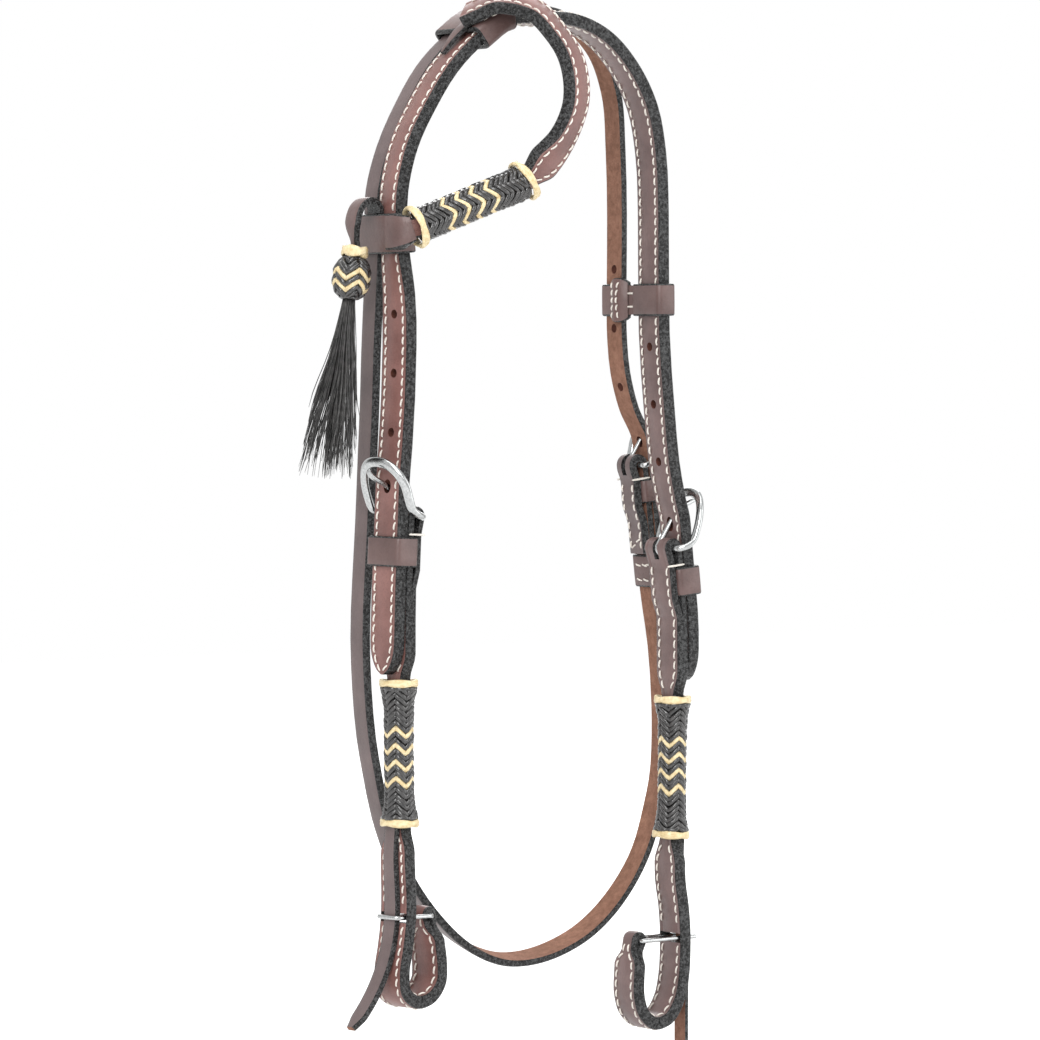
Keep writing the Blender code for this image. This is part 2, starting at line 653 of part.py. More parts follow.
def band_ring(name, matrix, half_x, half_z, wall, width, corner, look, shift=0.0):
    """A flat leather band closed round a strap: x across, z out, y along."""
    rings = []
    for grow, y in ((0.0, -width / 2), (wall, -width / 2), (wall, width / 2), (0.0, width / 2)):
        ring = []
        radius = corner + grow
        for quarter, (sx, sz) in enumerate(((1, 1), (-1, 1), (-1, -1), (1, -1))):
            cx = sx * (half_x - corner)
            cz = sz * (half_z - corner)
            for step in range(3):
                angle = math.pi / 2 * (quarter + step / 2)
                spot = Vector((cx + radius * math.cos(angle), y, shift + cz + radius * math.sin(angle)))
                ring.append(np.array(matrix @ spot))
        rings.append(ring)
    return skin(name, rings, look, closed=True)


def stack_keeper(name, stack, width, drop):
    """Band round the outer ply of the folded end and the billet."""
    low = -GAP / 2
    high = stack.billet_low + stack.billet + GAP
    matrix = stack.matrix() @ Matrix.Translation((0.0, -drop, 0.0))
    return band_ring(name, matrix, stack.width / 2 + GAP, (high - low) / 2, KEEPER_WALL, width,
                     KEEPER_CORNER, leather_dark(), shift=(high + low) / 2)


def billet_cutters(strap, route, s_hole, direction, pitch, thickness):
    """Spare holes up the strap from the buckled one."""
    cutters = []
    for index in range(1, SPARE_HOLES + 1):
        place, along, side, out = route.frame(s_hole + direction * pitch * index)
        cutters.append(round_hole(strap, place, out, HOLE_RADIUS, thickness + 2 * CUT_OVERRUN))
    return cutters


def tongue_cutter(carrier, stack):
    """The buckled hole, drawn along the tongue's lean."""
    way = stack.up * math.cos(stack.lean) + stack.out * math.sin(stack.lean)
    reach = stack.billet / math.sin(stack.lean) + 2 * CUT_OVERRUN
    return round_hole(carrier, stack.point(0.0, stack.hole, stack.billet_middle), way,
                      stack.tongue + TONGUE_PLAY, reach)


def eye_cutter(carrier, stack):
    """Slot in a folded end that lets the tongue's eye reach the bar."""
    room = 2 * (stack.tongue + EYE_PLAY + GAP)
    low, high = -stack.eye - stack.tongue - 2 * GAP, stack.fold_radius + stack.ply
    back, front = stack.bar_out - stack.fold_radius - stack.ply, GAP + stack.ply
    slot = add_box((room, high - low, front - back),
                   stack.matrix() @ Matrix.Translation((0.0, (high + low) / 2, (front + back) / 2)))
    return hide_cutter(carrier, slot)


def make_crown(route, stacks):
    steps = [BILLET_POINT * share for share in TIP_STEP_SHARES]
    extra = steps + [route.length - step for step in steps]
    for (stack, s_bar), direction in zip(stacks, (1, -1)):
        for index in range(SPARE_HOLES + 1):
            hole = s_bar + direction * (stack.hole + HOLE_PITCH * index)
            extra += [hole - 2 * HOLE_RADIUS, hole + 2 * HOLE_RADIUS]
    chosen = route.stations(extra=extra)
    frames = [route.frame(s) for s in chosen]
    widths = [pointed(min(s, route.length - s), STRAP_WIDTH, BILLET_POINT) for s in chosen]
    for name, low, high, look in (("crown_outer_ply", GAP / 2, GAP / 2 + PLY, leather()),
                                  ("crown_inner_ply", -GAP / 2 - PLY, -GAP / 2, leather_dark())):
        sections = []
        for width in widths:
            section = strap_section(width, low, high)
            if high < 0:
                section = [(-across, low + high - out) for across, out in section]
            sections.append(section)
        ply = ribbon(name, frames, sections, look)
        cutters = []
        for (stack, s_bar), direction in zip(stacks, (1, -1)):
            s_hole = s_bar + direction * stack.hole
            cutters += billet_cutters(ply, route, s_hole, direction, HOLE_PITCH, 2 * PLY)
            cutters.append(tongue_cutter(ply, stack))
        cut(ply, cutters)


def fold_points(stack, first, last, steps=7):
    """Ply middle over the bar, from one face of the fold to the other."""
    points = []
    for step in range(steps + 1):
        angle = first + (last - first) * step / steps
        points.append(stack.point(0.0, stack.fold_radius * math.sin(angle),
                                  stack.bar_out + stack.fold_radius * math.cos(angle)))
    return points


def cheek_line(stack, table, twists, sign):
    """Route between the two plies of a cheek, from the bar to the bit end."""
    points = stack_points(stack, [STRAP_WIDTH * share for share in CHEEK_UPS_SHARES], 0.0)
    points += [np.array([HALF_SPAN * x, STRAP_WIDTH * y, DROP * z]) for x, y, z in table]
    return Route(points, yawed(np.array([0.0, sign, 0.0]), twists))


def cheek_places(prefix, stack):
    """A cheek's route, and where its braid's middle and its wire slot lie on it."""
    if prefix == "left":
        line = cheek_line(stack, LEFT_CHEEK_SHARES, LEFT_CHEEK_TURN_SHARES, -1)
        return line, line.at_height(DROP * LEFT_BRAID_SHARE), line.at_height(DROP * LEFT_SLOT_SHARE)
    line = cheek_line(stack, RIGHT_CHEEK_SHARES, [], 1)
    return line, line.at_height(DROP * RIGHT_BRAID_SHARE), line.at_height(DROP * RIGHT_SLOT_SHARE)


def cheek_path(stack, line, braid_s, steps=7):
    """One ply: up the inside, over the heel bar, down, round the bit loop and over the wire."""
    middle = stack.ply_middle
    keeper_in = -1.5 * GAP - KEEPER_WALL - PLY / 2
    bottom = line.s[int(np.argmin(line.place[:, 2]))]
    half = STRAP_WIDTH / 2

    def width_at(s):
        low = braid_s - BRAID_LENGTH / 2 - RING_TALL
        high = braid_s + BRAID_LENGTH / 2 + RING_TALL
        width = STRAP_WIDTH
        if low - WAIST_TAPER < s < high + WAIST_TAPER:
            away = max(low - s, s - high, 0.0) / WAIST_TAPER
            width = WAIST_WIDTH + (STRAP_WIDTH - WAIST_WIDTH) * (3 * away**2 - 2 * away**3)
        left = line.length - s
        if left < BIT_END_TAPER:
            away = max(left - half / 2, 0.0) / (BIT_END_TAPER - half / 2)
            width = BIT_END_WIDTH + (STRAP_WIDTH - BIT_END_WIDTH) * (3 * away**2 - 2 * away**3)
        return width

    low = braid_s - BRAID_LENGTH / 2 - RING_TALL
    high = braid_s + BRAID_LENGTH / 2 + RING_TALL
    taper_at = [WAIST_TAPER * share for share in WAIST_STEP_SHARES]
    extra = [low, high] + [low - step for step in taper_at] + [high + step for step in taper_at]
    extra += [line.length - BIT_END_TAPER * share for share in BIT_END_STEP_SHARES]
    keeper_low = KEEPER_DROP + KEEPER_WIDTH / 2 + 4 * GAP
    keeper_high = KEEPER_DROP - KEEPER_WIDTH / 2 - 4 * GAP
    join = keeper_low + PLY * LINING_JOIN_SHARE
    wire_fold = WIRE_RADIUS + GAP + PLY / 2
    wire_out = middle - wire_fold
    places, sides, widths = [], [], []

    def add(point, side, width):
        places.append(point)
        sides.append(side)
        widths.append(width)

    def inner_out(s):
        """The lining stands off round the keeper's back wall and the bar."""
        fold_in = stack.bar_out - stack.fold_radius
        stops = [0.0, keeper_high, keeper_low, join]
        values = [fold_in, keeper_in, keeper_in, -middle]
        return np.interp(s, stops, values)

    stops = line.stations(end=bottom - GAP, extra=extra + [keeper_high, keeper_low, join])
    for s in reversed(stops[1:]):
        place, along, side, out = line.frame(s)
        add(place + out * inner_out(s), side, width_at(s))
    for point in reversed(fold_points(stack, 0.0, math.pi, steps)):
        add(point, line.frame(0.0)[2], STRAP_WIDTH)
    first_outer = [s for s in line.stations(extra=extra) if s > 0]
    for s in first_outer[:-1]:
        place, along, side, out = line.frame(s)
        add(place + out * middle, side, width_at(s))
    place, along, side, out = line.frame(line.length)
    for step in range(steps + 1):
        angle = math.pi * step / steps
        add(place + out * (wire_out + wire_fold * math.cos(angle)) + along * wire_fold * math.sin(angle),
            side, BIT_END_WIDTH)
    rejoin = line.length - PLY * WIRE_JOIN_SHARE
    inner = [s for s in line.stations(start=bottom + GAP, extra=extra + [rejoin]) if s < line.length]
    for s in reversed(inner):
        place, along, side, out = line.frame(s)
        offset = np.interp(s, [rejoin, line.length], [-middle, wire_out - wire_fold])
        add(place + out * offset, side, width_at(s))
    return np.array(places), sides, widths


def slot_axes(line, slot_s):
    place, along, side, out = line.frame(slot_s)
    columns = [list(side) + [0.0], list(along) + [0.0], list(out) + [0.0], list(place) + [1.0]]
    return Matrix(columns).transposed()


def make_cheek(name, stack, line, braid_s, slot_s):
    places, sides, widths = cheek_path(stack, line, braid_s)
    ways = np.gradient(places, axis=0)
    rings = []
    for place, way, side, width in zip(places, ways, sides, widths):
        way = unit(way)
        side = unit(side - way * float(side @ way))
        out = np.cross(way, side)
        rings.append([place + side * across + out * high
                      for across, high in strap_section(width, -PLY / 2, PLY / 2)])
    strap = skin(name, rings, leather())
    cut(strap, [eye_cutter(strap, stack)])
    slot = add_box((2 * (WIRE_HALF_WIDTH + WIRE_RADIUS + SLOT_PLAY), SLOT_HEIGHT, 4 * PLY),
                   slot_axes(line, slot_s))
    cut(strap, [hide_cutter(strap, slot)])


def oval_tube(name, route, start, end, outer, inner, look, steps=8, sides=12):
    """Hollow oval sleeve along a route; outer and inner give half sizes."""
    rings_out, rings_in = [], []
    for k in range(steps + 1):
        share = k / steps
        place, along, side, out = route.frame(start + (end - start) * share)
        for rings, size in ((rings_out, outer(share)), (rings_in, inner(share))):
            rings.append([place + side * size[0] * math.cos(2 * math.pi * m / sides)
                          + out * size[1] * math.sin(2 * math.pi * m / sides) for m in range(sides)])
    return skin(name, rings_out + rings_in[::-1], look, closed=True, sharp=50.0)


def oval_ring(name, route, s, half_width, half_depth, look, sides=12, around=6):
    """A rolled rawhide ring standing square on a strap."""
    place, along, side, out = route.frame(s)
    rings = []
    for k in range(sides):
        angle = 2 * math.pi * k / sides
        outward = (side * (half_width - RING_WALL / 2) * math.cos(angle)
                   + out * (half_depth - RING_WALL / 2) * math.sin(angle))
        normal = unit(side * half_depth * math.cos(angle) + out * half_width * math.sin(angle))
        ring = []
        for m in range(around):
            turn = 2 * math.pi * m / around
            ring.append(place + outward + normal * RING_WALL / 2 * math.cos(turn)
                        + along * RING_TALL / 2 * math.sin(turn))
        rings.append(ring)
    return skin(name, rings, look, closed=True, sharp=60.0)


def make_cheek_braid(prefix, line, braid_s):
    def flare(share):
        away = min(share, 1 - share) * BRAID_LENGTH
        return BRAID_FLARE * max(0.0, 1 - away / BRAID_FLARE_LENGTH) ** 1.5

    def outer(share):
        return BRAID_HALF_WIDTH + flare(share), BRAID_HALF_DEPTH + flare(share)

    def inner(share):
        return outer(0.5)[0] - BRAID_WALL, outer(0.5)[1] - BRAID_WALL

    half = BRAID_LENGTH / 2
    reach = half + GAP + RING_TALL / 2
    oval_tube(prefix + "_rawhide_braid", line, braid_s - half, braid_s + half, outer, inner, black_rawhide())
    for name, s in (("upper", braid_s - reach), ("lower", braid_s + reach)):
        oval_ring("%s_%s_rawhide_ring" % (prefix, name), line, s, RING_HALF_WIDTH, RING_HALF_DEPTH,
                  natural_rawhide())


def wire_bars(line, slot_s):
    """Middles of a wire loop's two bars and the axes of the slot between them."""
    place, along, side, out = line.frame(line.length)
    middle = GAP / 2 + PLY / 2
    inner_bar = place + out * (middle - WIRE_RADIUS - GAP - PLY / 2)
    gate, gate_along, gate_side, gate_out = line.frame(slot_s)
    tab_low = GAP / 2 + PLY + GAP
    front_bar = gate + gate_out * (tab_low + TAB_PLY + GAP + WIRE_RADIUS)
    return inner_bar, front_bar, gate_along, gate_side


def wire_loop(line, slot_s):
    """Closed line of the wire: two bars joined by two legs."""
    inner_bar, front_bar, gate_along, across = wire_bars(line, slot_s)
    corner = WIRE_RADIUS * WIRE_CORNER_SHARE
    reach = unit(inner_bar - front_bar)
    loop = []
    for centre, way in ((front_bar, reach), (inner_bar, -reach)):
        first = -1 if centre is front_bar else 1
        for sign_across, order in ((first, (0, 1, 2)), (-first, (2, 1, 0))):
            for k in order:
                angle = math.pi / 2 * k / 2
                reach_out = WIRE_HALF_WIDTH - corner + corner * math.cos(angle)
                loop.append(centre + across * sign_across * reach_out + way * corner * (1 - math.sin(angle)))
    return loop


def make_wire(name, line, slot_s):
    inner_bar, front_bar, gate_along, gate_side = wire_bars(line, slot_s)
    loop = wire_loop(line, slot_s)
    tube(name, loop, [WIRE_RADIUS] * len(loop), steel(), gate_along, closed=True)
    set_origin([name], inner_bar)


def tab_line(prefix, line, braid_s, slot_s, tab_length):
    """Route of the tab that locks the wire loop."""
    tab_low = GAP / 2 + PLY + GAP
    start = braid_s + BRAID_LENGTH / 2 + 2 * GAP
    points, sides = [], []
    bend_start = slot_s + STRAP_WIDTH * TAB_BEND_SHARE
    for s in line.stations(start=start, end=bend_start, extra=[slot_s]):
        place, along, side, out = line.frame(s)
        points.append(place + out * (tab_low + TAB_PLY / 2))
        sides.append(side)
    place, along, side, out = line.frame(bend_start)
    hang = tab_length - (bend_start - start)
    lean = unit(along + out * TAB_LEAN_SHARES[prefix])
    base = place + out * (tab_low + TAB_PLY / 2)
    for share in TAB_HANG_SHARES:
        points.append(base + along * hang * share * (1 - share) + lean * hang * share * share)
        sides.append(side)
    return Route(points, nearest_side(points, sides))


def make_tab(prefix, tab_route):
    chosen = tab_route.stations(extra=[tab_route.length - TAB_POINT * share for share in TIP_STEP_SHARES])
    frames = [tab_route.frame(s) for s in chosen]
    sections = [strap_section(tab_width(tab_route, s), -TAB_PLY / 2, TAB_PLY / 2) for s in chosen]
    ribbon(prefix + "_lock_tab", frames, sections, leather_dark())


def tab_width(tab_route, s):
    """Narrow under the rawhide ring, full at the wire, pointed at the end."""
    neck = np.interp(s, [RING_TALL, RING_TALL + STRAP_WIDTH / 2], [TAB_NECK, TAB_WIDTH])
    left = tab_route.length - s
    return min(neck, TAB_WIDTH * max(TIP_BLUNT_SHARE, min(1.0, left / TAB_POINT)) ** 0.8)


def nearest_side(points, sides):
    points = np.array(points)

    def side_at(place, way, share):
        return sides[int(np.argmin(np.linalg.norm(points - place, axis=1)))]
    return side_at


def throat_stack(centre, up):
    return Stack(centre, up, np.array([1.0, 0.0, 0.0]), width=THROAT_WIDTH, ply=THROAT_PLY,
                 billet=THROAT_PLY, bar=THROAT_BAR_RADIUS, tongue=THROAT_TONGUE_RADIUS,
                 half_width=THROAT_BUCKLE_HALF_WIDTH, height=THROAT_BUCKLE_HEIGHT,
                 rise=THROAT_BUCKLE_RISE, band=THROAT_BAND_HALF_WIDTH, lean=THROAT_TONGUE_LEAN)


def throat_route(steps=7):
    """One strap from its folded end down under the throat, over the poll and to its billet."""
    def spot(shares):
        return np.array([HALF_SPAN * shares[0], STRAP_WIDTH * shares[1], DROP * shares[2]])

    tilt = math.radians(THROAT_STACK_TILT)
    up = np.array([-math.sin(tilt), 0.0, math.cos(tilt)])
    billet_centre = spot(THROAT_STACK_SHARES) + np.array([1.0, 0.0, 0.0]) * (THROAT_PLY + GAP)
    stack = throat_stack(billet_centre, up)
    middle = stack.ply_middle
    keeper_in = -1.5 * GAP - KEEPER_WALL - THROAT_PLY / 2
    fold_in = stack.bar_out - stack.fold_radius
    keeper_low = THROAT_KEEPER_DROP + THROAT_KEEPER_WIDTH / 2 + 4 * GAP
    keeper_high = THROAT_KEEPER_DROP - THROAT_KEEPER_WIDTH / 2 - 4 * GAP
    points = []
    join = keeper_low + THROAT_PLY * THROAT_JOIN_SHARE
    ease = -stack.fold_radius * FOLD_EASE_SHARE
    for down, out in ((THROAT_TURNBACK, -middle), ((THROAT_TURNBACK + join) / 2, -middle), (join, -middle),
                      (keeper_low, keeper_in), (keeper_high, keeper_in)):
        points.append(stack.point(0.0, -down, out))
    points.append(stack.point(0.0, ease, fold_in))
    points += fold_points(stack, math.pi, 0.0, steps)
    points.append(stack.point(0.0, ease, middle))
    loop_end = LOOP_KEEPER_DROP + LOOP_KEEPER_WIDTH / 2
    points += stack_points(stack, [-loop_end * share for share in THROAT_BACK_SHARES], middle)
    points += [spot(shares) for shares in THROAT_LOWER_SHARES]
    rises = [STRAP_WIDTH * share for share in THROAT_BILLET_UPS_SHARES]
    points += stack_points(stack, rises + [-DROP * THROAT_BILLET_TIP_SHARE], stack.billet_middle)
    return Route(points, rolled(np.array([0.0, 1.0, 0.0]), THROAT_ROLL_SHARES)), stack


def make_throat():
    route, stack = throat_route()
    extra = [route.length - THROAT_POINT * share for share in TIP_STEP_SHARES]
    chosen = route.stations(extra=extra, turn=THROAT_TURN)
    frames = [route.frame(s) for s in chosen]
    sections = []
    for s in chosen:
        width = pointed(route.length - s, THROAT_WIDTH, THROAT_POINT)
        sections.append(strap_section(width, -THROAT_PLY / 2, THROAT_PLY / 2))
    strap = ribbon("throatlatch_strap", frames, sections, leather())
    s_bar = route.at_height(stack.origin[2], last=True)
    s_hole = s_bar - stack.hole
    cutters = billet_cutters(strap, route, s_hole, -1, THROAT_HOLE_PITCH, THROAT_PLY)
    cutters.append(tongue_cutter(strap, stack))
    cutters.append(eye_cutter(strap, stack))
    cut(strap, cutters)
    return stack, route


def slider_place(crown, throat):
    """Axes on the crown strap, and the throat billet's place seen from there."""
    place, along, side, out = crown.frame(crown.at_height(-SLIDER_DROP, last=True))
    across = np.array([0.0, 1.0, 0.0])
    columns = [list(across) + [0.0], list(-along) + [0.0], list(np.cross(across, -along)) + [0.0],
               list(place) + [1.0]]
    matrix = Matrix(columns).transposed()
    beside = throat.frame(throat.at_height(-SLIDER_DROP, last=True))[0]
    return matrix, matrix.inverted() @ Vector(beside)


def make_slider(crown, throat):
    """Two loops and the stitched tab between them, round the crown and the throat billet."""
    matrix, offset = slider_place(crown, throat)
    crown_loop = band_ring("double_keeper", matrix, STRAP_WIDTH / 2 + SLIDER_PLAY, PLY + GAP / 2 + SLIDER_PLAY,
                           KEEPER_WALL, SLIDER_WIDTH, KEEPER_CORNER, leather_dark())
    throat_matrix = matrix @ Matrix.Translation((offset.x, 0.0, offset.z))
    throat_loop = band_ring("double_keeper_throat_loop", throat_matrix, THROAT_WIDTH / 2 + SLIDER_PLAY,
                            THROAT_PLY / 2 + SLIDER_PLAY, KEEPER_WALL, SLIDER_WIDTH, KEEPER_CORNER,
                            leather_dark())
    low_x = STRAP_WIDTH / 2 + SLIDER_PLAY + KEEPER_WALL / 2
    high_x = offset.x - THROAT_WIDTH / 2 - SLIDER_PLAY - KEEPER_WALL / 2
    thick = 1.1 * KEEPER_WALL
    rings = []
    for share, tall in SLIDER_TAB_SHARES:
        x = low_x + (high_x - low_x) * share
        z = offset.z * share / 2
        half_y = SLIDER_TAB_HEIGHT * tall / 2
        rings.append([np.array(matrix @ Vector((x, y, z + dz)))
                      for y, dz in ((-half_y, -thick), (half_y, -thick), (half_y, thick), (-half_y, thick))])
    tab = skin("double_keeper_tab", rings, leather_dark())
    for other in (throat_loop, tab):
        union = crown_loop.modifiers.new("join", "BOOLEAN")
        union.operation = "UNION"
        union.solver = "EXACT"
        union.object = other
        hide_cutter(crown_loop, other)
    set_origin(["double_keeper"], matrix.translation)


def sleeve_room(crown, throat, middle, width):
    """Frames along a sleeve on the crown strap, and the room that both straps take in it."""
    stops = [middle + width * share for share in SLEEVE_STEP_SHARES]
    frames = [crown.frame(s) for s in stops]
    edge_x, top, bottom = 0.0, PLY + GAP / 2, -PLY - GAP / 2
    for place, along, side, out in frames:
        nearest = int(np.argmin(np.linalg.norm(throat.place - (place + side * STRAP_WIDTH), axis=1)))
        offset = throat.place[nearest] - place
        edge_x = max(edge_x, float(offset @ side) + THROAT_WIDTH / 2)
        top = max(top, float(offset @ out) + THROAT_PLY / 2)
        bottom = min(bottom, float(offset @ out) - THROAT_PLY / 2)
    return frames, edge_x, bottom, top


def sleeve(name, crown, throat, middle, width):
    """A leather band round the crown strap and the throat strap beside it, curved with them."""
    frames, edge_x, bottom, top = sleeve_room(crown, throat, middle, width)
    rings = []
    for grow, chosen in ((EAR_WRAP_WALL, frames), (0.0, frames[::-1])):
        room = EAR_WRAP_PLAY + grow
        low_x, high_x = -STRAP_WIDTH / 2 - room, edge_x + room
        low_z, high_z = bottom - room, top + room
        corner = KEEPER_CORNER + grow
        section = [(low_x + corner, low_z), (high_x - corner, low_z), (high_x, low_z + corner),
                   (high_x, high_z - corner), (high_x - corner, high_z), (low_x + corner, high_z),
                   (low_x, high_z - corner), (low_x, low_z + corner)]
        for place, along, side, out in chosen:
            rings.append([place + side * x + out * z for x, z in section])
    skin(name, rings, leather_dark(), closed=True)


def ear_line(crown, throat):
    """Route of the ear strap, from the top of one sleeve to the front of the other."""
    s_low = crown.at_height(-EAR_LOWER_DROP)
    s_top = crown.s[int(np.argmin(np.abs(crown.place[:, 0] + EAR_TOP_SPAN)))]
    top = sleeve_room(crown, throat, s_top, EAR_TOP_WRAP_WIDTH)[3] + EAR_WRAP_PLAY + EAR_WRAP_WALL
    place, along, side, out = crown.frame(s_top)
    points = [place + along * STRAP_WIDTH * x + side * STRAP_WIDTH * y + out * (top + GAP + PLY + GAP / 2)
              for x, y in EAR_START_SHARES]
    points += [np.array([HALF_SPAN * x, HALF_SPAN * y, DROP * z]) for x, y, z in EAR_ROUTE_SHARES]
    keys = [key for key, side in EAR_SIDE_SHARES]
    axes = np.array([side for key, side in EAR_SIDE_SHARES])
    axes[0] = along * axes[0][0] + side * axes[0][1]
    axes[1] = axes[0]

    def side_at(place, way, share):
        return np.array([np.interp(share, keys, axes[:, axis]) for axis in range(3)])

    return Route(points, side_at, twist=EAR_TURN), s_low, s_top


def ear_stops(route):
    """Arc lengths of the ear braid's ends and of its two rings."""
    braid_end = route.length - EAR_TAIL
    braid_start = braid_end - EAR_BRAID_LENGTH
    return braid_start, braid_end, braid_start - GAP - RING_TALL / 2, braid_end + GAP + RING_TALL / 2


def make_ear(crown, throat):
    route, s_low, s_top = ear_line(crown, throat)
    braid_start, braid_end, ring_a, ring_b = ear_stops(route)
    sleeve("ear_lower_wrap", crown, throat, s_low, EAR_WRAP_WIDTH)
    sleeve("ear_top_wrap", crown, throat, s_top, EAR_TOP_WRAP_WIDTH)
    waist = ring_a - RING_TALL / 2

    def width_at(s):
        away = min(1.0, max(0.0, (waist - s) / WAIST_TAPER))
        return EAR_WAIST + (EAR_WIDTH - EAR_WAIST) * (3 * away**2 - 2 * away**3)

    extra = [waist] + [waist - WAIST_TAPER * share for share in WAIST_STEP_SHARES]
    for name, low, high, look, end in (("ear_outer_ply", GAP / 2, GAP / 2 + PLY, leather(), route.length),
                                       ("ear_lining", -GAP / 2 - PLY, -GAP / 2, leather_dark(),
                                        ring_b + RING_TALL / 2)):
        chosen = route.stations(extra=extra, end=end)
        frames = [route.frame(s) for s in chosen]
        sections = []
        for s in chosen:
            section = strap_section(width_at(s), low, high)
            if high < 0:
                section = [(-across, low + high - out) for across, out in section]
            sections.append(section)
        ribbon(name, frames, sections, look)

    def outer(share):
        return EAR_BRAID_RADIUS, EAR_BRAID_RADIUS

    def inner(share):
        return EAR_BRAID_RADIUS - BRAID_WALL, EAR_BRAID_RADIUS - BRAID_WALL

    oval_tube("ear_rawhide_braid", route, braid_start, braid_end, outer, inner, black_rawhide())
    for name, s in (("ear_upper_rawhide_ring", ring_a), ("ear_lower_rawhide_ring", ring_b)):
        oval_ring(name, route, s, EAR_RING_RADIUS, EAR_RING_RADIUS, natural_rawhide())
    return s_low, s_top


def ear_pivot(crown, s_low, s_top):
    """Point about which both wraps slide along the crown: where their normals meet."""
    low, low_along, side, low_out = crown.frame(s_low)
    top, top_along, side, top_out = crown.frame(s_top)
    reach = np.linalg.solve(np.array([[low_out[0], -top_out[0]], [low_out[2], -top_out[2]]]),
                            np.array([top[0] - low[0], top[2] - low[2]]))
    return low + low_out * reach[0]


def hanger_line(crown, s_low):
    """Route of the tassel's hanger and the axes that the tassel hangs by."""
    place, along, side, out = crown.frame(s_low + EAR_WRAP_WIDTH / 2 + GAP)
    down = np.array([0.0, 0.0, -1.0])
    outward = unit(np.array([out[0], out[1], 0.0]))
    forward = np.cross(down, outward)
    wall = PLY + GAP / 2 + EAR_WRAP_PLAY + EAR_WRAP_WALL / 2
    base = place + out * wall + side * HANGER_BACK
    points = [base + outward * HANGER_REACH * reach + down * HANGER_FALL * fall
              for reach, fall in HANGER_ROUTE_SHARES]

    def across_at(spot, way, share):
        return -forward

    swing = math.radians(TASSEL_LEAN)
    fall = unit(down * math.cos(swing) + outward * math.sin(swing))
    flat = unit(outward - fall * float(outward @ fall))
    return Route(points, across_at, turn=2 * TURN), fall, flat


def make_tassel(crown, s_low):
    """Leather hanger on the ear's lower wrap, rawhide ring, knot and horsehair."""
    route, fall, flat = hanger_line(crown, s_low)
    rings = []
    neck = [route.length - HANGER_NECK * share for share in NECK_STEP_SHARES]
    for s in route.stations(extra=neck):
        spot, way, across, face = route.frame(s)
        taper = min(1.0, max(0.0, (route.length - s) / HANGER_NECK - 1))
        width = HANGER_END_WIDTH + (HANGER_WIDTH - HANGER_END_WIDTH) * taper
        rings.append([spot + across * x + face * z
                      for x, z in strap_section(width, -HANGER_PLY / 2, HANGER_PLY / 2)])
    skin("tassel_hanger", rings, leather_dark())
    end = route.place[-1]
    wide = np.cross(fall, flat)
    centre = end - fall * TASSEL_RING_TALL / 2
    middle = TASSEL_RING_RADIUS - RING_WALL / 2
    rings = []
    for k in range(12):
        angle = 2 * math.pi * k / 12
        ray = flat * math.cos(angle) + wide * math.sin(angle)
        rings.append([centre + ray * (middle + RING_WALL / 2 * math.cos(2 * math.pi * m / 6))
                      + fall * TASSEL_RING_TALL / 2 * math.sin(2 * math.pi * m / 6) for m in range(6)])
    skin("tassel_rawhide_ring", rings, natural_rawhide(), closed=True, sharp=60.0)

    def lathe(name, start, profile, look, squash=1.0):
        turned = []
        for distance, radius in profile:
            spot = start + fall * distance
            turned.append([spot + flat * radius * squash * math.cos(2 * math.pi * k / 12)
                           + wide * radius * math.sin(2 * math.pi * k / 12) for k in range(12)])
        skin(name, turned, look, sharp=50.0)

    knot = [(KNOT_HEIGHT * share, KNOT_RADIUS * radius) for share, radius in KNOT_PROFILE_SHARES]
    lathe("tassel_knot", end + fall * GAP, knot, black_rawhide())
    hair = []
    for share in HAIR_STEP_SHARES:
        radius = HAIR_TOP_RADIUS + (HAIR_END_WIDTH - HAIR_TOP_RADIUS) * share**1.1
        hair.append((HAIR_LENGTH * share, radius * (1.0 if share < 1.0 else 0.7)))
    lathe("tassel_horsehair", end + fall * (KNOT_HEIGHT + 2 * GAP), hair, horsehair(), squash=0.8)
    return centre, wide


def main():
    for old in list(bpy.data.objects):
        bpy.data.objects.remove(old)
    crown = crown_route()
    left, right = crown_stack(crown, False), crown_stack(crown, True)
    make_crown(crown, (left, right))
    for prefix, (stack, s_bar), tab_length in (("left", left, LEFT_TAB_LENGTH),
                                               ("right", right, RIGHT_TAB_LENGTH)):
        line, braid_s, slot_s = cheek_places(prefix, stack)
        make_cheek(prefix + "_cheek_strap", stack, line, braid_s, slot_s)
        make_cheek_braid(prefix, line, braid_s)
        make_wire(prefix + "_bit_wire_loop", line, slot_s)
        make_tab(prefix, tab_line(prefix, line, braid_s, slot_s, tab_length))
        buckle_frame(prefix + "_buckle_frame", stack)
        buckle_tongue(prefix + "_buckle_tongue", stack)
        stack_keeper(prefix + "_cheek_keeper", stack, KEEPER_WIDTH, KEEPER_DROP)
    stack, throat = make_throat()
    buckle_frame("throat_buckle_frame", stack)
    buckle_tongue("throat_buckle_tongue", stack)
    stack_keeper("throat_keeper", stack, THROAT_KEEPER_WIDTH, THROAT_KEEPER_DROP)
    stack_keeper("throat_billet_loop", stack, LOOP_KEEPER_WIDTH, LOOP_KEEPER_DROP)
    make_slider(crown, throat)
    s_low, s_top = make_ear(crown, throat)
    centre, wide = make_tassel(crown, s_low)
    set_origin(["ear_outer_ply", "ear_lining", "ear_rawhide_braid", "ear_upper_rawhide_ring",
                "ear_lower_rawhide_ring", "ear_lower_wrap", "ear_top_wrap", "tassel_hanger"],
               ear_pivot(crown, s_low, s_top))
    set_origin(["tassel_rawhide_ring", "tassel_knot", "tassel_horsehair"], centre)


main()
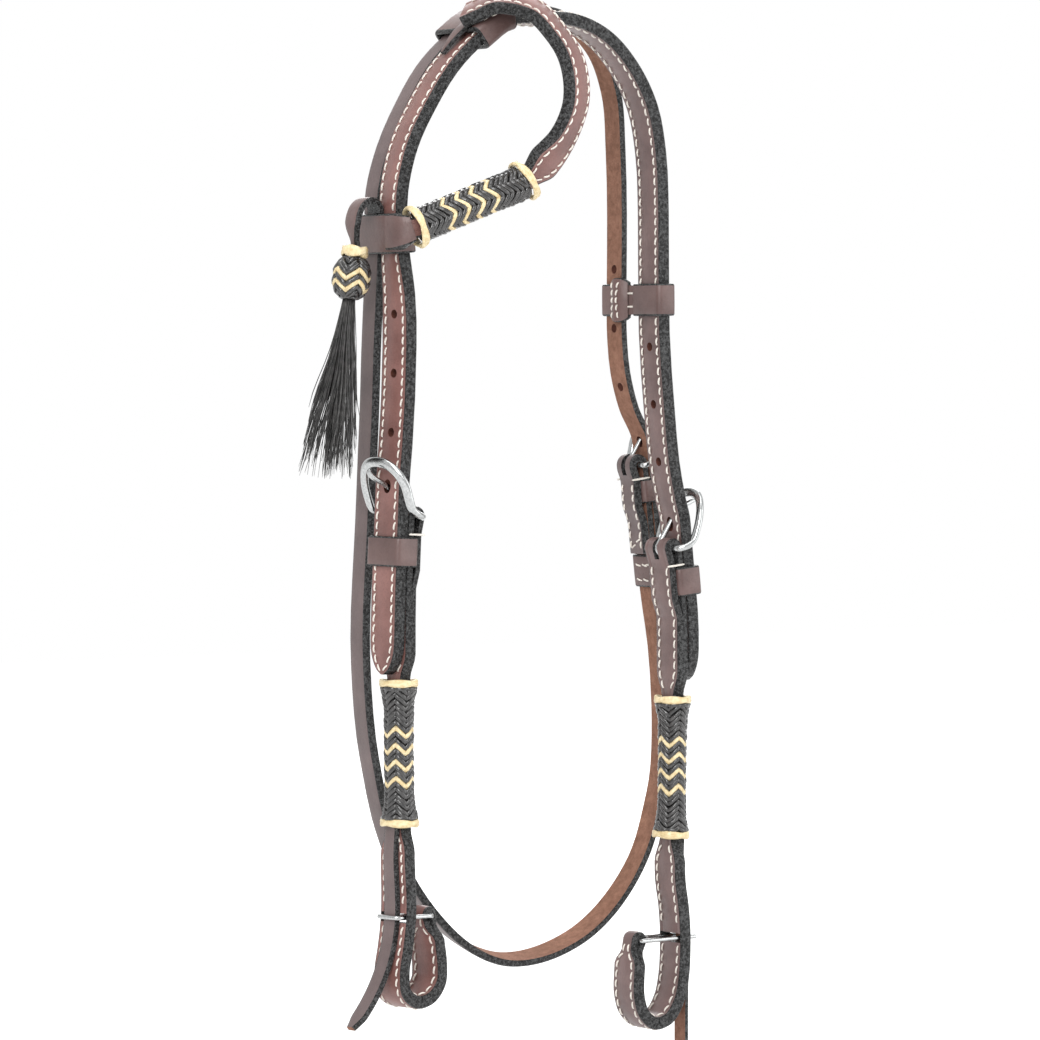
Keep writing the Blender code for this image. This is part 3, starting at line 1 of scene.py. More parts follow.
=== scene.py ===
"""Looks of the one-ear western headstall: leather, thread, rawhide, steel and horsehair.

The routes and sizes are those of the solids, so that each shown piece lies on its solid.
"""

import math

import bmesh
import bpy
import numpy as np
from mathutils import Matrix, Vector


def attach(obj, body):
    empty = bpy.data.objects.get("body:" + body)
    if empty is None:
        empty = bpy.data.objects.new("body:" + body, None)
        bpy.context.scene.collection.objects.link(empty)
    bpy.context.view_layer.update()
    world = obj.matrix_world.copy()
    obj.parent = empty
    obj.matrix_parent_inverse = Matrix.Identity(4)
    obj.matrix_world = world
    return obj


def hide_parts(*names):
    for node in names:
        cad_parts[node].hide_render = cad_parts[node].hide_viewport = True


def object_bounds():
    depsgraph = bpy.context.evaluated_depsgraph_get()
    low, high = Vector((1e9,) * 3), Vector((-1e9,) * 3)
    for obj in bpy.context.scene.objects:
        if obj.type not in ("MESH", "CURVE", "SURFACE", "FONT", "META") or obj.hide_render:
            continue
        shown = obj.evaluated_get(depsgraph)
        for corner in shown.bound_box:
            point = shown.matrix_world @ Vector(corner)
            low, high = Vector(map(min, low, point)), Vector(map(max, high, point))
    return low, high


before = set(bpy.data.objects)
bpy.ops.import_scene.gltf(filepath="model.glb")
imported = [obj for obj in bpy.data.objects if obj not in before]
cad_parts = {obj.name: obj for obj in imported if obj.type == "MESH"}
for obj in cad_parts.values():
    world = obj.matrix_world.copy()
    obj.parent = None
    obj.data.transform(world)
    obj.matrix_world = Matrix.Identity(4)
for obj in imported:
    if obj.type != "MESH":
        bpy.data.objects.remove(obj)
SOLID_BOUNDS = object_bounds()

# Overall sizes
HALF_SPAN = 0.080          # poll centre to a cheek strap
DROP = 0.490               # poll to the lowest bit loop
GAP = 0.0003               # between pieces that touch

# Doubled crown and cheek leather
STRAP_WIDTH = 0.019
PLY = 0.003
BILLET_POINT = 0.016       # length of a rounded billet point
HOLE_PITCH = 0.0284
HOLE_RADIUS = 0.0022
SPARE_HOLES = 3

# Single ply throatlatch
THROAT_WIDTH = 0.0127
THROAT_PLY = 0.0037
THROAT_POINT = 0.014       # length of its billet's point
THROAT_TURNBACK = 0.0445   # stitched length of the folded end
THROAT_HOLE_PITCH = 0.0292

# Buckles on the crown strap
BAR_RADIUS = 0.00175
BUCKLE_HALF_WIDTH = 0.0148
BUCKLE_HEIGHT = 0.0255
BUCKLE_RISE = 0.0190       # the top bar stands this far out from the heel bar
BAND_HALF_WIDTH = 0.0025
TONGUE_RADIUS = 0.0013
EYE_PLAY = 0.00025
TONGUE_PLAY = 0.0013       # room round the tongue in its billet hole
LEFT_TONGUE_LEAN = 50.0    # degrees between the tongue and the strap
RIGHT_TONGUE_LEAN = 41.0

# The smaller throat buckle
THROAT_BAR_RADIUS = 0.0015
THROAT_BUCKLE_HALF_WIDTH = 0.0108
THROAT_BUCKLE_HEIGHT = 0.0200
THROAT_BUCKLE_RISE = 0.0142
THROAT_BAND_HALF_WIDTH = 0.0019
THROAT_TONGUE_RADIUS = 0.0011
THROAT_TONGUE_LEAN = 42.0

# Fixed keepers below the buckles
KEEPER_WALL = 0.0018
KEEPER_WIDTH = 0.0145
KEEPER_DROP = 0.0170       # heel bar to the keeper's middle
THROAT_KEEPER_WIDTH = 0.0118
THROAT_KEEPER_DROP = 0.0132
LOOP_KEEPER_WIDTH = 0.0165
LOOP_KEEPER_DROP = 0.0535  # heel bar to the lower throat keeper's middle

# Sliding keeper that ties the throat billet to the crown strap
SLIDER_WIDTH = 0.0160
SLIDER_TAB_HEIGHT = 0.0220
SLIDER_PLAY = 0.00045
SLIDER_DROP = 0.1330       # poll to the slider's middle

# Rawhide braid on each cheek
BRAID_LENGTH = 0.0622
BRAID_HALF_WIDTH = 0.0080
BRAID_HALF_DEPTH = 0.0072
BRAID_FLARE = 0.0017
BRAID_FLARE_LENGTH = 0.0110
WAIST_WIDTH = 0.0110       # strap inside the braid
WAIST_TAPER = 0.0120
RING_TALL = 0.0044
RING_WALL = 0.0024
RING_HALF_WIDTH = 0.0104
RING_HALF_DEPTH = 0.0092
LEFT_BRAID_SHARE = -0.7153   # of the drop, to the braid's middle
RIGHT_BRAID_SHARE = -0.7441

# Quick-change bit ends
WIRE_RADIUS = 0.0011
WIRE_HALF_WIDTH = 0.0065
BIT_END_WIDTH = 0.0092     # narrowed strap end inside the wire loop
BIT_END_TAPER = 0.0120
SLOT_HEIGHT = 0.0046
SLOT_PLAY = 0.0009
TAB_WIDTH = 0.0090
TAB_PLY = 0.0024
TAB_NECK = 0.0070
LEFT_TAB_LENGTH = 0.1060
RIGHT_TAB_LENGTH = 0.1130
TAB_POINT = 0.0108         # length of a tab's point
TAB_LEAN_SHARES = {"left": 0.40, "right": 0.02}   # outward lean of the hanging tab
TAB_HANG_SHARES = (0.15, 0.35, 0.6, 0.80, 0.93, 1.0)
TAB_BEND_SHARE = 0.35      # of the strap width, from the wire to where the tab hangs free

# Ear loop
EAR_WIDTH = 0.0190
EAR_BRAID_RADIUS = 0.0088
EAR_WAIST = 0.0100
EAR_WRAP_WALL = 0.0020
EAR_WRAP_PLAY = 0.0008
EAR_WRAP_WIDTH = 0.0190
EAR_TOP_WRAP_WIDTH = 0.0230
EAR_LOWER_DROP = 0.1020
EAR_TOP_SPAN = 0.0300      # poll centre to the top wrap's middle
EAR_BRAID_LENGTH = 0.0560
EAR_RING_RADIUS = 0.0108
EAR_TAIL = 0.0170          # braid's end to the lower wrap, along the strap

# Tassel
HANGER_REACH = 0.0125      # how far the hanger stands off the lower wrap
HANGER_FALL = 0.0215       # top of the wrap to the hanger's end
HANGER_BACK = 0.0085       # behind the crown strap's middle
HANGER_WIDTH = 0.0130
HANGER_END_WIDTH = 0.0055
HANGER_NECK = 0.0085
HANGER_PLY = 0.0026
HANGER_ROUTE_SHARES = [
    (0.0, 0.0), (0.01, -0.12), (0.14, -0.24), (0.40, -0.29), (0.74, -0.18), (0.95, 0.06),
    (1.0, 0.32), (0.93, 0.56), (0.89, 0.72), (0.94, 1.0),
]
TASSEL_LEAN = 8.0          # degrees off the plumb line
TASSEL_RING_RADIUS = 0.0067
TASSEL_RING_TALL = 0.0062
KNOT_RADIUS = 0.0095
KNOT_HEIGHT = 0.0185
KNOT_PROFILE_SHARES = [(0.0, 0.60), (0.12, 0.86), (0.32, 1.0), (0.68, 1.0), (0.88, 0.84), (1.0, 0.55)]
HAIR_LENGTH = 0.0870
HAIR_TOP_RADIUS = 0.0035
HAIR_END_WIDTH = 0.0130

# Routes as shares of the half span, the drop and the strap width
CROWN_LEFT_STACK_SHARES = (-1.0525, -0.4898)
CROWN_LEFT_TIP_SHARES = (-1.0850, -0.6445)
CROWN_RIGHT_STACK_SHARES = (1.0500, -0.5265)
CROWN_RIGHT_TIP_SHARES = (1.1000, -0.6630)
CROWN_ARCH_SHARES = [
    (-1.0225, -0.4224), (-1.0025, -0.3735), (-0.9925, -0.3245), (-0.9975, -0.2735),
    (-1.0225, -0.2306), (-1.0300, -0.1735), (-0.9650, -0.1306), (-0.8270, -0.0878),
    (-0.6800, -0.0533), (-0.4500, -0.0192), (-0.3000, -0.0030), (-0.1500, 0.0),
    (-0.0500, 0.0), (0.0500, 0.0), (0.1500, 0.0), (0.3060, -0.0052),
    (0.4625, -0.0174), (0.6375, -0.0442), (0.7875, -0.0860), (0.8475, -0.1309),
    (0.8675, -0.1901), (0.8700, -0.2492), (0.8750, -0.3100), (0.9160, -0.3920),
    (0.9500, -0.4410), (1.0010, -0.4800),
]
STACK_UPS_SHARES = (0.75, 0.25, -0.70, -1.35, -1.70)   # of the strap width, along each stack
CHEEK_UPS_SHARES = (0.0, -0.70, -1.35, -1.70)
LEFT_STACK_TILT = 2.5      # degrees, foot outwards
RIGHT_STACK_TILT = 6.0
CROWN_TURN_SHARES = [
    (-0.70, 8.0), (-0.45, 8.0), (-0.2830, 8.0), (-0.2150, -7.0), (-0.1500, -4.0), (-0.05, 0.0),
]

LEFT_CHEEK_SHARES = [
    (-1.0000, 0.00, -0.6300), (-0.9990, 0.00, -0.6900), (-0.9990, 0.00, -0.7300),
    (-0.9950, 0.00, -0.7850), (-1.0080, 0.00, -0.8180), (-1.0020, 0.00, -0.8500),
    (-1.0040, 0.00, -0.8780), (-1.0300, -0.02, -0.9070), (-1.0560, -0.04, -0.9310),
    (-1.0400, -0.02, -0.9490), (-0.9600, 0.04, -0.9590), (-0.8330, 0.13, -0.9560),
    (-0.7600, 0.18, -0.9420), (-0.7540, 0.18, -0.9250), (-0.7740, 0.17, -0.9010),
    (-0.7880, 0.16, -0.8765),
]
RIGHT_CHEEK_SHARES = [
    (1.0150, 0.0, -0.6300), (1.0180, 0.0, -0.6760), (1.0150, 0.0, -0.7380),
    (1.0060, 0.0, -0.8080), (0.9980, 0.0, -0.8350), (1.0020, 0.0, -0.8600),
    (1.0260, 0.0, -0.8850), (1.0390, 0.0, -0.9100), (1.0390, 0.0, -0.9330),
    (1.0280, 0.0, -0.9570), (0.9900, 0.0, -0.9810), (0.9080, 0.0, -0.9980),
    (0.8100, 0.0, -1.0010), (0.7300, 0.0, -0.9910), (0.6900, 0.0, -0.9720),
    (0.6900, 0.0, -0.9520), (0.7020, 0.0, -0.9310), (0.7160, 0.0, -0.9170),
]
LEFT_CHEEK_TURN_SHARES = [(-0.56, 8.0), (-0.80, 7.0), (-0.86, 12.0)]
LEFT_SLOT_SHARE = -0.8765
RIGHT_SLOT_SHARE = -0.9170

# Throat strap: across, fore-and-aft share of the strap width, height
THROAT_STACK_SHARES = (1.0030, 1.48, -0.4375)
THROAT_STACK_TILT = 6.8
THROAT_BILLET_TIP_SHARE = 0.1350
THROAT_BACK_SHARES = (0.3, 0.6, 0.85, 1.03)            # of the way from the fold past its lower keeper
THROAT_BILLET_UPS_SHARES = (0.62, 0.15, -0.8, -1.8)    # of the strap width
THROAT_LOWER_SHARES = [
    (1.1560, 1.48, -0.6245), (1.1860, 1.48, -0.6860), (1.1880, 1.48, -0.7180), (1.1660, 1.48, -0.7630),
    (1.1230, 1.47, -0.7900), (1.0250, 1.42, -0.8330), (0.8500, 1.38, -0.8740),
    (0.7050, 1.37, -0.8970), (0.5530, 1.37, -0.9140), (0.4000, 1.37, -0.9250),
    (0.2500, 1.37, -0.9320), (0.1110, 1.37, -0.9350), (-0.0380, 1.37, -0.9340),
    (-0.1850, 1.37, -0.9270), (-0.3700, 1.38, -0.9100), (-0.5250, 1.40, -0.8880),
    (-0.6820, 1.44, -0.8580), (-0.8100, 1.47, -0.8240), (-0.9050, 1.48, -0.7840),
    (-0.9680, 1.48, -0.7410), (-1.0120, 1.48, -0.7040), (-1.0420, 1.48, -0.6560),
    (-1.0540, 1.48, -0.6060), (-1.0440, 1.48, -0.5490), (-1.0340, 1.47, -0.4920),
    (-1.0260, 1.45, -0.4250), (-1.0120, 1.42, -0.3750), (-1.0080, 1.32, -0.3250),
    (-1.0120, 1.14, -0.2750), (-1.0250, 0.95, -0.2300), (-1.0280, 0.90, -0.1650),
    (-0.9540, 0.90, -0.1240), (-0.8180, 0.90, -0.0800), (-0.6720, 0.90, -0.0440),
    (-0.4400, 0.90, -0.0090), (-0.2800, 0.92, 0.0080), (-0.0500, 0.95, 0.0165),
    (0.1500, 1.05, 0.0185), (0.3300, 1.20, 0.0150), (0.5200, 1.33, 0.0010),
    (0.6900, 1.42, -0.0230), (0.7950, 1.47, -0.0600), (0.8330, 1.48, -0.1200),
    (0.8440, 1.48, -0.1850), (0.8420, 1.48, -0.2500), (0.8420, 1.48, -0.3000),
    (0.8700, 1.48, -0.3450), (0.9350, 1.48, -0.3810),
]
THROAT_ROLL_SHARES = [(-0.84, 0.0), (-0.93, -13.0)]

# Ear loop: across and fore-and-aft of the half span, and height; then its side vectors
EAR_ROUTE_SHARES = [
    (-0.2125, -0.2950, 0.0102), (-0.1187, -0.3750, -0.0110), (-0.0525, -0.4275, -0.0327),
    (-0.0250, -0.4550, -0.0571), (-0.0375, -0.4688, -0.0806), (-0.0800, -0.4688, -0.1000),
    (-0.1480, -0.4575, -0.1200), (-0.2450, -0.4350, -0.1385), (-0.3625, -0.4080, -0.1560),
    (-0.5950, -0.3720, -0.1724), (-0.8287, -0.3330, -0.1876), (-0.9500, -0.3150, -0.1955),
    (-1.0400, -0.3020, -0.2012), (-1.0950, -0.2880, -0.2046), (-1.1350, -0.2500, -0.2068),
    (-1.1400, -0.2050, -0.2075), (-1.1380, -0.1600, -0.2075),
]
EAR_START_SHARES = [(-0.30, 0.03), (0.02, -0.38), (0.28, -0.74)]   # on the top wrap, of the strap width
EAR_SIDE_SHARES = [
    (0.0, (0.80, 0.60, 0.00)), (0.11, (0.80, 0.60, 0.00)), (0.25, (0.87, 0.49, 0.00)),
    (0.42, (0.84, 0.52, 0.00)), (0.52, (0.60, 0.50, -0.45)), (0.62, (0.30, 0.30, -0.85)),
    (0.80, (0.0, 0.0, -1.0)),
    (1.0, (0.0, 0.0, -1.0)),
]

# Smaller forms as shares of the piece that carries them
TIP_BLUNT_SHARE = 0.22
WAIST_STEP_SHARES = (0.25, 0.5, 0.75, 1.0)
BIT_END_STEP_SHARES = (1.0, 0.8, 0.6, 0.42)
SLEEVE_STEP_SHARES = (-0.5, -0.25, 0.0, 0.25, 0.5)
FOLD_EASE_SHARE = 0.4      # of the fold's radius
LINING_JOIN_SHARE = 3.0    # of the ply, below the keeper
THROAT_JOIN_SHARE = 2.5
WIRE_JOIN_SHARE = 3.2      # of the ply, before the fold over the wire
WIRE_CORNER_SHARE = 1.8    # of the wire's radius
FRAME_SHARES = (           # of the half width, the height and the rise
    (0.0, 0.0, 0.0), (0.78, 0.0, 0.0), (0.95, 0.01, 0.08), (1.0, 0.05, 0.26), (1.0, 0.14, 0.44),
    (1.02, 0.34, 0.57), (1.01, 0.54, 0.67), (0.90, 0.72, 0.78), (0.70, 0.87, 0.89), (0.40, 0.97, 0.97),
    (0.0, 1.0, 1.0),
)
FRAME_THICK_SHARE = 0.7    # of the band's half width
FRAME_LEG_SHARE = 0.4      # of the rise, where the bar has grown into the band
TONGUE_LIFT_SHARE = 0.92   # of the band's half width, over its middle
TONGUE_REST_SHARES = ((0.20, 0.55), (0.34, 0.90), (0.44, 1.0), (1.0, 1.0))   # from the billet to the tip
TONGUE_TIP_SHARES = (0.95, 0.7)

# Mesh fineness
TURN = 9.5                 # degrees between stations on a gentle curve
TWIST_TURN = 1.6           # degrees of twist between stations
EAR_TURN = 4.0
LONGEST_RUN = 0.030
SAMPLE = 0.0012            # spacing of the fine samples along a route


def unit(vector):
    return vector / np.linalg.norm(vector)


def eased(share):
    """Rises slowly from 0 to 1 and ends slowly."""
    return 3 * share**2 - 2 * share**3


def axes_matrix(across, up, out, place):
    """Matrix that has these axes and lies at this place."""
    columns = [list(axis) + [0.0] for axis in (across, up, out)] + [list(place) + [1.0]]
    return Matrix(columns).transposed()


class Route:
    """A smooth route with a frame at each fine sample.

    along is the direction of travel, side is across the strap and out is
    along x side, the way the grain faces.
    """

    def __init__(self, points, side_at, turn=TURN, twist=TWIST_TURN):
        points = np.array(points, float)
        spans = np.linalg.norm(np.diff(points, axis=0), axis=1)
        slopes = np.diff(points, axis=0) / spans[:, None]
        tangents = [slopes[0]]
        for before, after, first, second in zip(slopes, slopes[1:], spans, spans[1:]):
            tangents.append((before * second + after * first) / (first + second))
        tangents.append(slopes[-1])
        places, ways, knots = [points[0]], [unit(tangents[0])], [0]
        for index, span in enumerate(spans):
            count = max(2, int(math.ceil(span / SAMPLE)))
            start, end = points[index], points[index + 1]
            leave, arrive = tangents[index] * span, tangents[index + 1] * span
            for step in range(1, count + 1):
                u = step / count
                places.append(start * (2 * u**3 - 3 * u**2 + 1) + leave * (u**3 - 2 * u**2 + u)
                              + end * (3 * u**2 - 2 * u**3) + arrive * (u**3 - u**2))
                ways.append(unit(start * (6 * u**2 - 6 * u) + leave * (3 * u**2 - 4 * u + 1)
                                 + end * (6 * u - 6 * u**2) + arrive * (3 * u**2 - 2 * u)))
            knots.append(len(places) - 1)
        self.place = np.array(places)
        self.along = np.array(ways)
        steps = np.linalg.norm(np.diff(self.place, axis=0), axis=1)
        self.s = np.concatenate([[0.0], np.cumsum(steps)])
        self.length = self.s[-1]
        sides = []
        for place, way, s in zip(self.place, self.along, self.s):
            side = side_at(place, way, s / self.length)
            sides.append(unit(side - way * float(side @ way)))
        self.side = np.array(sides)
        self.out = np.cross(self.along, self.side)
        self.knots = [self.s[index] for index in knots]
        self.turn, self.twist = turn, twist

    def frame(self, s):
        columns = []
        for values in (self.place, self.along, self.side, self.out):
            columns.append(np.array([np.interp(s, self.s, values[:, axis]) for axis in range(3)]))
        place, along, side, out = columns
        return place, unit(along), unit(side), unit(out)

    def stations(self, start=None, end=None, extra=(), turn=None):
        """Arc lengths where a mesh needs a section."""
        start = 0.0 if start is None else start
        end = self.length if end is None else end
        turn = math.radians(turn or self.turn)
        fixed = [s for s in list(self.knots) + list(extra) if start + SAMPLE < s < end - SAMPLE]
        kept = [start]
        for s in sorted(fixed):
            if s - kept[-1] > SAMPLE:
                kept.append(s)
        result = [start]
        for low, high in zip(kept, kept[1:] + [end]):
            inner = [s for s in self.s if low < s < high]
            ways = [self.frame(s)[1] for s in [low] + inner[::3] + [high]]
            sides = [self.frame(s)[2] for s in [low] + inner[::3] + [high]]
            bend = sum(math.acos(min(1.0, float(a @ b))) for a, b in zip(ways, ways[1:]))
            twist = sum(math.acos(min(1.0, float(a @ b))) for a, b in zip(sides, sides[1:]))
            parts = max(1, math.ceil(bend / turn), math.ceil(twist / math.radians(self.twist)),
                        math.ceil((high - low) / LONGEST_RUN))
            result += [low + (high - low) * k / parts for k in range(1, parts + 1)]
        return result

    def at_height(self, z, last=False):
        """Arc length where the route passes a height, first or last time."""
        heights = self.place[:, 2] - z
        crossings = np.nonzero(heights[:-1] * heights[1:] <= 0)[0]
        index = crossings[-1] if last else crossings[0]
        share = heights[index] / (heights[index] - heights[index + 1])
        return self.s[index] + share * (self.s[index + 1] - self.s[index])


def by_height(table, z):
    """Angle in radians from a table of shares of the drop and degrees."""
    keys = sorted(table)
    heights = [DROP * height for height, angle in keys]
    return math.radians(np.interp(z, heights, [angle for height, angle in keys]))


def yawed(base, table, start=0):
    """Side vector turned about the vertical, on one half of the object or both."""
    def side_at(place, way, share):
        angle = by_height(table, place[2]) if table and place[0] * start >= 0 else 0.0
        return np.array([base[0] * math.cos(angle) - base[1] * math.sin(angle),
                         base[0] * math.sin(angle) + base[1] * math.cos(angle), 0.0])
    return side_at


def rolled(base, table):
    """Side vector turned about the direction of travel."""
    def side_at(place, way, share):
        angle = by_height(table, place[2])
        side = unit(base - way * float(base @ way))
        return side * math.cos(angle) + np.cross(way, side) * math.sin(angle)
    return side_at


def pointed(distance, width, point):
    """Strap width at a distance from a rounded point."""
    if distance >= point:
        return width
    share = 1 - distance / point
    return width * max(TIP_BLUNT_SHARE, (1 - share**2.2) ** 0.6)


class Stack:
    """Where a billet, a folded strap end, a buckle and a keeper meet.

    Local axes: x across the strap, y up towards the poll, z outwards. The
    origin lies between the two plies of the folded end, level with the bar.
    """

    def __init__(self, billet_centre, up, out, width, ply, billet, bar, tongue, half_width,
                 height, rise, band, lean):
        self.up = unit(up)
        self.out = unit(out - self.up * float(out @ self.up))
        self.across = np.cross(self.up, self.out)
        self.width, self.ply, self.billet = width, ply, billet
        self.bar, self.tongue, self.band = bar, tongue, band
        self.half_width, self.height, self.rise = half_width, height, rise
        self.lean = math.radians(lean)
        self.ply_middle = GAP / 2 + ply / 2
        self.fold_radius = bar + GAP + ply / 2
        self.bar_out = self.ply_middle - self.fold_radius
        self.billet_low = GAP / 2 + ply + GAP
        self.billet_middle = self.billet_low + billet / 2
        self.eye = bar + EYE_PLAY + tongue
        leave = self.lean - math.pi / 2
        self.shank = (self.eye * math.cos(leave), self.bar_out + self.eye * math.sin(leave))
        self.hole = self.on_tongue(self.billet_middle)
        self.origin = np.array(billet_centre) - self.out * self.billet_middle

    def on_tongue(self, out):
        """How far up the strap the straight part of the tongue is, at a distance outwards."""
        return self.shank[0] + (out - self.shank[1]) / math.tan(self.lean)

    def point(self, across, up, out):
        return self.origin + self.across * across + self.up * up + self.out * out

    def matrix(self):
        return axes_matrix(self.across, self.up, self.out, self.origin)


def stack_points(stack, ups, out):
    return [stack.point(0.0, up, out) for up in ups]


def crown_route():
    def spot(shares):
        return np.array([HALF_SPAN * shares[0], 0.0, DROP * shares[1] + PLY + GAP / 2])

    points = []
    for shares, tip, tilt, sign in ((CROWN_LEFT_STACK_SHARES, CROWN_LEFT_TIP_SHARES, LEFT_STACK_TILT, -1),
                                    (CROWN_RIGHT_STACK_SHARES, CROWN_RIGHT_TIP_SHARES, RIGHT_STACK_TILT, 1)):
        angle = math.radians(tilt)
        up = np.array([-sign * math.sin(angle), 0.0, math.cos(angle)])
        run = [spot(shares) + up * STRAP_WIDTH * share for share in STACK_UPS_SHARES]
        points.append([spot(tip)] + run[::-1])
    arch = [spot(shares) for shares in CROWN_ARCH_SHARES]
    side = yawed(np.array([0.0, 1.0, 0.0]), CROWN_TURN_SHARES, start=-1)
    return Route(points[0] + arch + points[1][::-1], side)


def stack_on(route, level, last, **sizes):
    s = route.at_height(level, last)
    place, along, side, out = route.frame(s)
    return Stack(place, -along if last else along, out, **sizes), s


def crown_stack(route, last):
    shares = CROWN_RIGHT_STACK_SHARES if last else CROWN_LEFT_STACK_SHARES
    lean = RIGHT_TONGUE_LEAN if last else LEFT_TONGUE_LEAN
    return stack_on(route, DROP * shares[1] + PLY + GAP / 2, last, width=STRAP_WIDTH, ply=PLY,
                    billet=2 * PLY + GAP, bar=BAR_RADIUS, tongue=TONGUE_RADIUS,
                    half_width=BUCKLE_HALF_WIDTH, height=BUCKLE_HEIGHT, rise=BUCKLE_RISE,
                    band=BAND_HALF_WIDTH, lean=lean)


def tongue_path(stack):
    """Up and out places of the tongue's wire, round its eye and to its tip."""
    leave = stack.lean - math.pi / 2
    path = []
    for step in range(13):
        angle = leave - math.radians(300.0) * (1 - step / 12)
        path.append((stack.eye * math.cos(angle), stack.bar_out + stack.eye * math.sin(angle)))
    rest = stack.bar_out + stack.rise + TONGUE_LIFT_SHARE * stack.band + GAP + stack.tongue
    high = stack.billet_low + stack.billet
    leaving = (stack.on_tongue(high), high)
    path.append(((stack.shank[0] + leaving[0]) / 2, (stack.shank[1] + leaving[1]) / 2))
    path.append(leaving)
    tip = (stack.height + stack.band, rest)
    for along, rise in TONGUE_REST_SHARES:
        path.append((leaving[0] + (tip[0] - leaving[0]) * along, leaving[1] + (tip[1] - leaving[1]) * rise))
    return path


def buckle_loop(stack):
    """Heel bar and horseshoe band in one closed loop: places and the band's half sizes."""
    half = [(stack.half_width * x, stack.height * y, stack.rise * z) for x, y, z in FRAME_SHARES]
    loop = half + [(-x, y, z) for x, y, z in half[-2:0:-1]]
    points = [stack.point(x, y, z + stack.bar_out) for x, y, z in loop]
    thin, wide = [], []
    for x, y, z in loop:
        share = min(1.0, z / (FRAME_LEG_SHARE * stack.rise))
        thin.append(stack.bar * (1 - share) + FRAME_THICK_SHARE * stack.band * share)
        wide.append(stack.bar * (1 - share) + stack.band * share)
    return points, wide, thin


def fold_points(stack, first, last, steps=7):
    """Ply middle over the bar, from one face of the fold to the other."""
    points = []
    for step in range(steps + 1):
        angle = first + (last - first) * step / steps
        points.append(stack.point(0.0, stack.fold_radius * math.sin(angle),
                                  stack.bar_out + stack.fold_radius * math.cos(angle)))
    return points


def cheek_line(stack, table, twists, sign):
    """Route between the two plies of a cheek, from the bar to the bit end."""
    points = stack_points(stack, [STRAP_WIDTH * share for share in CHEEK_UPS_SHARES], 0.0)
    points += [np.array([HALF_SPAN * x, STRAP_WIDTH * y, DROP * z]) for x, y, z in table]
    return Route(points, yawed(np.array([0.0, sign, 0.0]), twists))


def cheek_places(prefix, stack):
    """A cheek's route, and where its braid's middle and its wire slot lie on it."""
    if prefix == "left":
        line = cheek_line(stack, LEFT_CHEEK_SHARES, LEFT_CHEEK_TURN_SHARES, -1)
        return line, line.at_height(DROP * LEFT_BRAID_SHARE), line.at_height(DROP * LEFT_SLOT_SHARE)
    line = cheek_line(stack, RIGHT_CHEEK_SHARES, [], 1)
    return line, line.at_height(DROP * RIGHT_BRAID_SHARE), line.at_height(DROP * RIGHT_SLOT_SHARE)


def cheek_path(stack, line, braid_s, steps=7):
    """One ply: up the inside, over the heel bar, down, round the bit loop and over the wire."""
    middle = stack.ply_middle
    keeper_in = -1.5 * GAP - KEEPER_WALL - PLY / 2
    bottom = line.s[int(np.argmin(line.place[:, 2]))]
    half = STRAP_WIDTH / 2
    low = braid_s - BRAID_LENGTH / 2 - RING_TALL
    high = braid_s + BRAID_LENGTH / 2 + RING_TALL

    def width_at(s):
        width = STRAP_WIDTH
        if low - WAIST_TAPER < s < high + WAIST_TAPER:
            away = max(low - s, s - high, 0.0) / WAIST_TAPER
            width = WAIST_WIDTH + (STRAP_WIDTH - WAIST_WIDTH) * eased(away)
        left = line.length - s
        if left < BIT_END_TAPER:
            away = max(left - half / 2, 0.0) / (BIT_END_TAPER - half / 2)
            width = BIT_END_WIDTH + (STRAP_WIDTH - BIT_END_WIDTH) * eased(away)
        return width

    taper_at = [WAIST_TAPER * share for share in WAIST_STEP_SHARES]
    extra = [low, high] + [low - step for step in taper_at] + [high + step for step in taper_at]
    extra += [line.length - BIT_END_TAPER * share for share in BIT_END_STEP_SHARES]
    keeper_low = KEEPER_DROP + KEEPER_WIDTH / 2 + 4 * GAP
    keeper_high = KEEPER_DROP - KEEPER_WIDTH / 2 - 4 * GAP
    join = keeper_low + PLY * LINING_JOIN_SHARE
    wire_fold = WIRE_RADIUS + GAP + PLY / 2
    wire_out = middle - wire_fold
    places, sides, widths = [], [], []

    def add(point, side, width):
        places.append(point)
        sides.append(side)
        widths.append(width)

    def inner_out(s):
        """The lining stands off round the keeper's back wall and the bar."""
        fold_in = stack.bar_out - stack.fold_radius
        stops = [0.0, keeper_high, keeper_low, join]
        values = [fold_in, keeper_in, keeper_in, -middle]
        return np.interp(s, stops, values)

    stops = line.stations(end=bottom - GAP, extra=extra + [keeper_high, keeper_low, join])
    for s in reversed(stops[1:]):
        place, along, side, out = line.frame(s)
        add(place + out * inner_out(s), side, width_at(s))
    for point in reversed(fold_points(stack, 0.0, math.pi, steps)):
        add(point, line.frame(0.0)[2], STRAP_WIDTH)
    first_outer = [s for s in line.stations(extra=extra) if s > 0]
    for s in first_outer[:-1]:
        place, along, side, out = line.frame(s)
        add(place + out * middle, side, width_at(s))
    place, along, side, out = line.frame(line.length)
    for step in range(steps + 1):
        angle = math.pi * step / steps
        add(place + out * (wire_out + wire_fold * math.cos(angle)) + along * wire_fold * math.sin(angle),
            side, BIT_END_WIDTH)
    rejoin = line.length - PLY * WIRE_JOIN_SHARE
    inner = [s for s in line.stations(start=bottom + GAP, extra=extra + [rejoin]) if s < line.length]
    for s in reversed(inner):
        place, along, side, out = line.frame(s)
        offset = np.interp(s, [rejoin, line.length], [-middle, wire_out - wire_fold])
        add(place + out * offset, side, width_at(s))
    return np.array(places), sides, widths


def slot_axes(line, slot_s):
    place, along, side, out = line.frame(slot_s)
    return axes_matrix(side, along, out, place)


